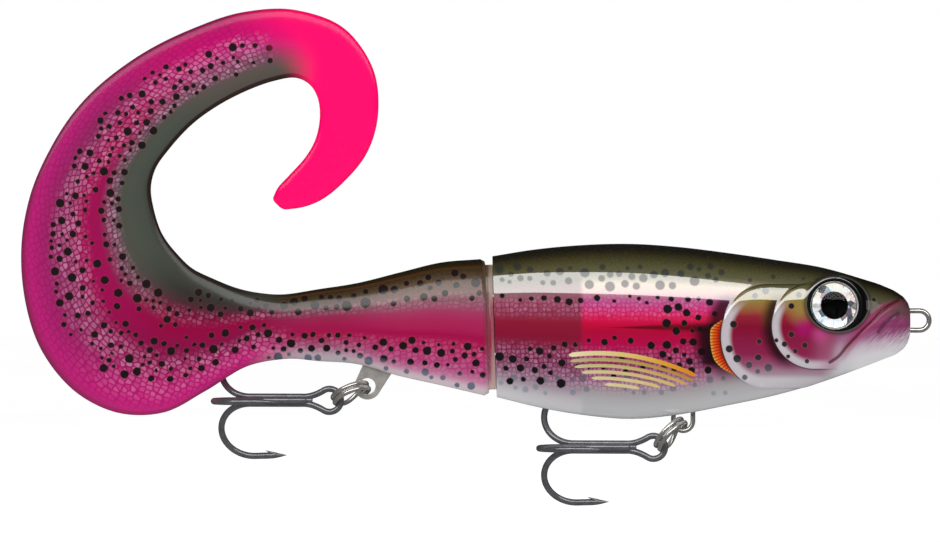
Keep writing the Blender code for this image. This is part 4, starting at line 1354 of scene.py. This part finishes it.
def metal(name, colour, roughness, worn, bump=0.01, metallic=1.0):
    p = Paint(name)
    where = p.place()
    cloud = p.noise(where, 0.7, 4.0, 0.6)
    drawn = p.node("ShaderNodeVectorMath", {0: where, 1: (2.0, 9.0, 9.0)}, operation="MULTIPLY")
    scratch = p.noise(drawn, 1.0, 2.0)
    tone = p.over(colour, worn, p.step(cloud, 0.35, 0.7))
    return p.finish(
        Base_Color=tone,
        Metallic=metallic,
        Roughness=p.add(roughness, p.times(scratch, 0.06)),
        Normal=p.bump(scratch, bump, 0.3),
    )


def arc(centre, radius, start, end, steps):
    """Points (across, up) of an arc from one angle to another, in degrees."""
    turns = np.radians(np.linspace(start, end, steps + 1))
    return [(centre[0] + radius * math.cos(a), centre[1] + radius * math.sin(a)) for a in turns]


def flat_line(points, count=220):
    return resampled([(x, 0.0, z) for x, z in points], count)


def make_wires(steel):
    loop, end = LINE_TIE_LOOP, -LINE_TIE_END
    upper = [(end - 0.6, loop + 1.3), (end - 0.25, loop + 0.4), (end + 0.4, loop)]
    upper += [(-4.0, loop), (-1.5, loop)]
    lower = [(x, -z) for x, z in reversed(upper)]
    path = flat_line(upper + arc((0.0, 0.0), loop, 90, -90, 24) + lower)
    tie = joined("line_tie_wire", [tube(path, LINE_TIE_RADIUS, 28)])
    dress(tie, "front_body", steel, "bright_wire", "line_tie")

    x, z = -HANGER_CENTRE[0], HANGER_CENTRE[1]
    loop, top = HANGER_LOOP, HANGER_TOP
    front = [(x + loop + 1.4, top + 0.4), (x + loop + 0.4, top + 0.15), (x + loop, top - 0.5)]
    front += [(x + loop, z + 2.5), (x + loop, z + 1.0)]
    rear = [(2 * x - px, pz) for px, pz in reversed(front)]
    path = flat_line(front + arc((x, z), loop, 0, -180, 24) + rear)
    hanger = joined("belly_hanger_wire", [tube(path, HANGER_RADIUS, 28)])
    dress(hanger, "front_body", steel, "bright_wire", "belly_hook_hanger")


def ring_path():
    """Two turns of a split ring, stepping from one layer to the other."""
    start = RING_CROSS_AT + RING_CROSS_HALF
    cross_from = RING_CROSS_AT + 360 - RING_CROSS_HALF
    cross_to = RING_CROSS_AT + 360 + RING_CROSS_HALF
    end = RING_CROSS_AT + 720 - RING_CROSS_HALF
    angles = np.arange(start, end + 1, 5.0)
    layer = RING_PITCH * (smooth_step(angles, cross_from, cross_to) - 0.5)
    turn = np.radians(angles)
    return np.column_stack((RING_RADIUS * (1 - np.cos(turn)), RING_RADIUS * np.sin(turn), layer))


def ring_frame(hook_eye, slope):
    along = Vector((slope[0], 0.0, slope[1])).normalized()
    across = Matrix.Rotation(math.radians(RING_TILT), 4, along) @ Vector((0.0, 1.0, 0.0))
    normal = along.cross(across)
    turn = Matrix((along, across, normal)).transposed().to_4x4()
    return frame_at(hook_eye[0], 0.0, hook_eye[1]) @ turn


def hook_line(steps=40):
    """(along the shank, away from it, relative thickness) from the eye to the point."""
    bend = (POINT_OFFSET - SHANK_OFFSET) / 2
    shank = [(u, SHANK_OFFSET, 1.0) for u in np.linspace(SHANK_START, SHANK_END - 0.5, 12)]
    curve = [(u, v, 1.0) for u, v in arc((SHANK_END, SHANK_OFFSET + bend), bend, -90, 90, steps)]
    taper = ((0.2, 1.0), (0.45, 1.0), (0.62, 0.9), (0.76, 0.66), (0.9, 0.32), (1.0, 0.05))
    start = (SHANK_END, POINT_OFFSET)
    return shank + curve + [(*between(start, POINT_TIP, t), scale) for t, scale in taper]


def between(start, end, share):
    """The point that lies a share of the way from the start to the end."""
    return tuple(a + (b - a) * share for a, b in zip(start, end))


def turned_out(line, direction):
    across, up = direction
    return [(u, v * across, v * up, scale) for u, v, scale in line]


def barb(direction):
    """A small sharp spur behind the point, lifted off the wire towards the shank."""
    across, up = direction
    root = (POINT_TIP[0] + 2.0, POINT_TIP[1] - 0.12)
    end = (POINT_TIP[0] + 3.9, POINT_TIP[1] - 1.0)
    line = [between(root, end, t) for t in np.linspace(0, 1, 8)]
    points = np.array([(u, v * across, v * up) for u, v in line])
    return tube(points, np.linspace(0.4, 0.05, 8), 10)


def make_treble(name, frame, nickel):
    """Two hooks bent from one wire, a third brazed between them, and their barbs."""
    turn = math.radians(TREBLE_SPREAD)
    upper = (-math.sin(turn), math.cos(turn))
    lower = (-math.sin(turn), -math.cos(turn))
    opening = HOOK_EYE_OPENING
    loop = arc((HOOK_EYE_AT, 0.0), HOOK_EYE_RADIUS, opening, 360 - opening, 30)
    eye = [(u, 0.0, z, 1.0) for u, z in loop]
    line = turned_out(hook_line(), upper)[::-1] + eye + turned_out(hook_line(), lower)
    double = resampled(line, 520)
    single = resampled(turned_out(hook_line(), (1.0, 0.0)), 220)
    shapes = [tube(wire[:, :3], wire[:, 3] * HOOK_WIRE, 20) for wire in (double, single)]
    shapes += [barb(way) for way in (upper, lower, (1.0, 0.0))]
    braze = np.column_stack((np.linspace(4.2, SHANK_END - 0.6, 40), np.zeros(40), np.zeros(40)))
    shapes.append(tube(braze, np.full(40, 0.5), 14))
    name += "_treble"
    hook = joined(name, [moved(shape, frame) for shape in shapes])
    dress(hook, name, nickel, "black_nickel", name + "_double", name + "_single")


def make_rigging(name, hook_eye, slope, yaw, steel, nickel):
    frame = ring_frame(hook_eye, slope)
    ring = joined(name + "_ring_wire", [moved(tube(ring_path(), RING_WIRE, 20), frame)])
    dress(ring, name + "_ring", steel, "bright_wire", name + "_split_ring")
    far_end = frame @ (Vector((2 * RING_RADIUS, 0.0, 0.0)) * MM)
    swing = Matrix.Translation(far_end) @ Matrix.Rotation(math.radians(yaw), 4, "Z")
    make_treble(name, swing, nickel)


def make_plate(satin):
    """The harness plate with softened edges; only its round hook eye shows."""
    curve = bpy.data.curves.new("harness", "CURVE")
    curve.dimensions = "2D"
    curve.fill_mode = "BOTH"
    soft = 0.12
    curve.extrude = (PLATE_HALF - soft) * MM
    curve.bevel_depth = soft * MM
    curve.bevel_resolution = 3
    curve.offset = -soft * MM
    outline = list(PLATE_TOP) + arc(PLATE_EYE, PLATE_EYE_RADIUS, 10, -145, 48) + list(PLATE_BELOW)
    for loop in (outline, arc(PLATE_EYE, PLATE_EYE_HOLE, 0, 354, 59)):
        spline = curve.splines.new("POLY")
        spline.points.add(len(loop) - 1)
        spline.use_cyclic_u = True
        for knot, (behind, up) in zip(spline.points, loop):
            knot.co = (-behind * MM, up * MM, 0.0, 1.0)
    flat = placed("harness_flat", curve)
    flat.matrix_world = Matrix.Rotation(math.radians(90), 4, "X")
    mesh = baked(flat)
    mesh.transform(flat.matrix_world)
    bpy.data.objects.remove(flat, do_unlink=True)
    plate = placed("harness_plate_soft", smoothed(faced_out(mesh, 0.002), 35))
    dress(plate, "tail", satin, "satin_steel", "harness_plate")


# ---------------------------------------------------------------- inner pieces


def repaint(nodes, material, *names):
    for name in names:
        node = nodes[name]
        node.data.materials.clear()
        node.data.materials.append(material)


def foil_material():
    p = Paint("holographic_foil")
    where = p.place()
    place = p.parts_of(where)
    cells, _shade = p.scales(place[0], place[2], 1.4)
    cloud = p.noise(where, 0.3, 2.0)
    tint = p.ramp(cloud, ((0.3, (255, 60, 110)), (0.5, (240, 90, 190)), (0.7, (255, 170, 120))))
    tint = p.mix(p.times(p.flip(cells), 0.5), tint, (150, 20, 60))
    return p.finish(
        Base_Color=tint,
        Metallic=0.9,
        Roughness=p.add(0.12, p.times(cloud, 0.15)),
        Normal=p.bump(cells, 0.03),
    )


def plastic(name, colour, other, roughness, **more):
    p = Paint(name)
    where = p.place()
    cloud = p.noise(where, 0.6, 4.0, 0.6)
    fine = p.noise(where, 6.0, 2.0)
    tone = p.over(colour, other, p.step(cloud, 0.35, 0.65))
    return moulded(p, tone, roughness, fine, **more)


def moulded(p, tone, roughness, fine, **more):
    """The finish of plain moulded plastic."""
    return p.finish(
        Base_Color=tone,
        Roughness=p.add(roughness, p.times(fine, 0.1)),
        Normal=p.bump(fine, 0.012),
        **more,
    )


def coupling_material():
    """Clear plastic that takes its tint from the tail around it."""
    p = Paint("coupling_plastic")
    where = p.place()
    fine = p.noise(where, 3.0, 3.0)
    tint = p.ramp(p.parts_of(where)[2], (
        (-13.0, (214, 184, 172)), (-7.0, (206, 150, 152)), (-3.0, (190, 62, 98)),
        (2.5, (186, 56, 92)), (5.0, (200, 166, 156)), (9.0, (150, 122, 88)),
    ))
    return moulded(p, p.mix(p.times(fine, 0.4), tint, (214, 184, 166)), 0.3, fine)


def make_inner(nodes, steel, satin):
    repaint(nodes, foil_material(), "foil_insert_left", "foil_insert_right")
    lead = metal("ballast", (92, 94, 98), 0.42, (70, 70, 72), 0.05)
    repaint(nodes, lead, "belly_ballast", "head_ballast")
    pale, grey = (225, 230, 235), (205, 214, 222)
    clear = plastic("clear_plastic", pale, grey, 0.06, Transmission_Weight=0.8)
    repaint(nodes, clear, "rattle_tube", "rattle_tube_cap")
    repaint(nodes, metal("ball_steel", (190, 190, 194), 0.1, (165, 166, 170)), "rattle_ball")
    repaint(nodes, steel, "hinge_pin")
    repaint(nodes, satin, "harness_rivet_upper", "harness_rivet_lower")
    repaint(nodes, coupling_material(), "tail_coupling")
    make_bosses(plastic("boss_plastic", (196, 180, 168), (182, 164, 152), 0.35))


# ---------------------------------------------------------------- stage


def area_light(name, at, size, radiance, in_gloss=True):
    light = bpy.data.lights.new(name, "AREA")
    light.shape = "RECTANGLE"
    light.size, light.size_y = size
    light.energy = radiance * math.pi * size[0] * size[1]
    lamp = placed(name, light)
    lamp.location = at
    facing = Vector(LIGHTS_TOWARD) - Vector(at)
    lamp.rotation_euler = facing.to_track_quat("-Z", "Y").to_euler()
    lamp.visible_glossy = in_gloss


def make_stage():
    """A plain pale floor below the hooks, which hang lower when they swing."""
    edges = (-FLOOR_REACH, FLOOR_REACH)
    sheet = new_mesh("floor", [(x, y, FLOOR_UP) for y in edges for x in edges], quads(2, 2))
    p = Paint("floor_paper")
    cloud = p.noise(p.place(), 0.01, 2.0)
    tone = p.mix(cloud, (252, 252, 252), (255, 255, 255))
    sheet.data.materials.append(
        p.finish(Base_Color=(90, 90, 90), Roughness=0.9, Emission_Color=tone, Emission_Strength=1.0)
    )
    sheet.visible_glossy = False
    sheet.visible_transmission = False


def make_lights():
    area_light("softbox", (-0.08, -0.61, 0.376), (1.5, 0.31), 4.1)
    area_light("front_fill", (-0.2, -1.3, -0.1), (1.2, 0.6), 0.3, in_gloss=False)
    area_light("rear_fill", (-0.08, 0.7, 0.5), (1.2, 0.6), 2.6, in_gloss=False)


def make_world():
    """White behind the object, and almost no light from all around."""
    world = bpy.data.worlds.new("studio")
    world.use_nodes = True
    nodes, links = world.node_tree.nodes, world.node_tree.links
    seen = nodes.new("ShaderNodeLightPath").outputs["Is Camera Ray"]
    strength = nodes.new("ShaderNodeMapRange")
    strength.inputs["To Min"].default_value = 0.02
    strength.inputs["To Max"].default_value = 1.0
    links.new(seen, strength.inputs[0])
    back = nodes["Background"]
    back.inputs[0].default_value = (1.0, 1.0, 1.0, 1.0)
    links.new(strength.outputs[0], back.inputs[1])
    bpy.context.scene.world = world


def make_camera():
    lens = bpy.data.cameras.new("camera")
    lens.sensor_width = 36.0
    lens.lens = 184.7
    camera = placed("camera", lens)
    camera.location = (-0.08388, -0.9, 0.00924)
    camera.rotation_euler = (math.radians(90), 0.0, 0.0)
    bpy.context.scene.camera = camera
    bpy.context.scene.view_settings.view_transform = "Standard"


def make_all(nodes):
    steel = metal("bright_wire", (216, 213, 208), 0.16, (190, 187, 182), 0.002, 0.8)
    nickel = metal("black_nickel", (120, 120, 124), 0.2, (104, 104, 108), 0.001, 0.6)
    satin = metal("satin_steel", (178, 174, 170), 0.34, (162, 158, 154), 0.01, 0.5)
    make_body()
    make_tail()
    make_eyes()
    make_wires(steel)
    make_rigging("front", HANGER_CENTRE, FRONT_RING_SLOPE, FRONT_HOOK_YAW, steel, nickel)
    make_rigging("rear", PLATE_EYE, REAR_RING_SLOPE, REAR_HOOK_YAW, steel, nickel)
    make_plate(satin)
    make_inner(nodes, steel, satin)
    make_stage()
    make_lights()
    make_world()
    make_camera()


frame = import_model()
make_all(frame["nodes"])
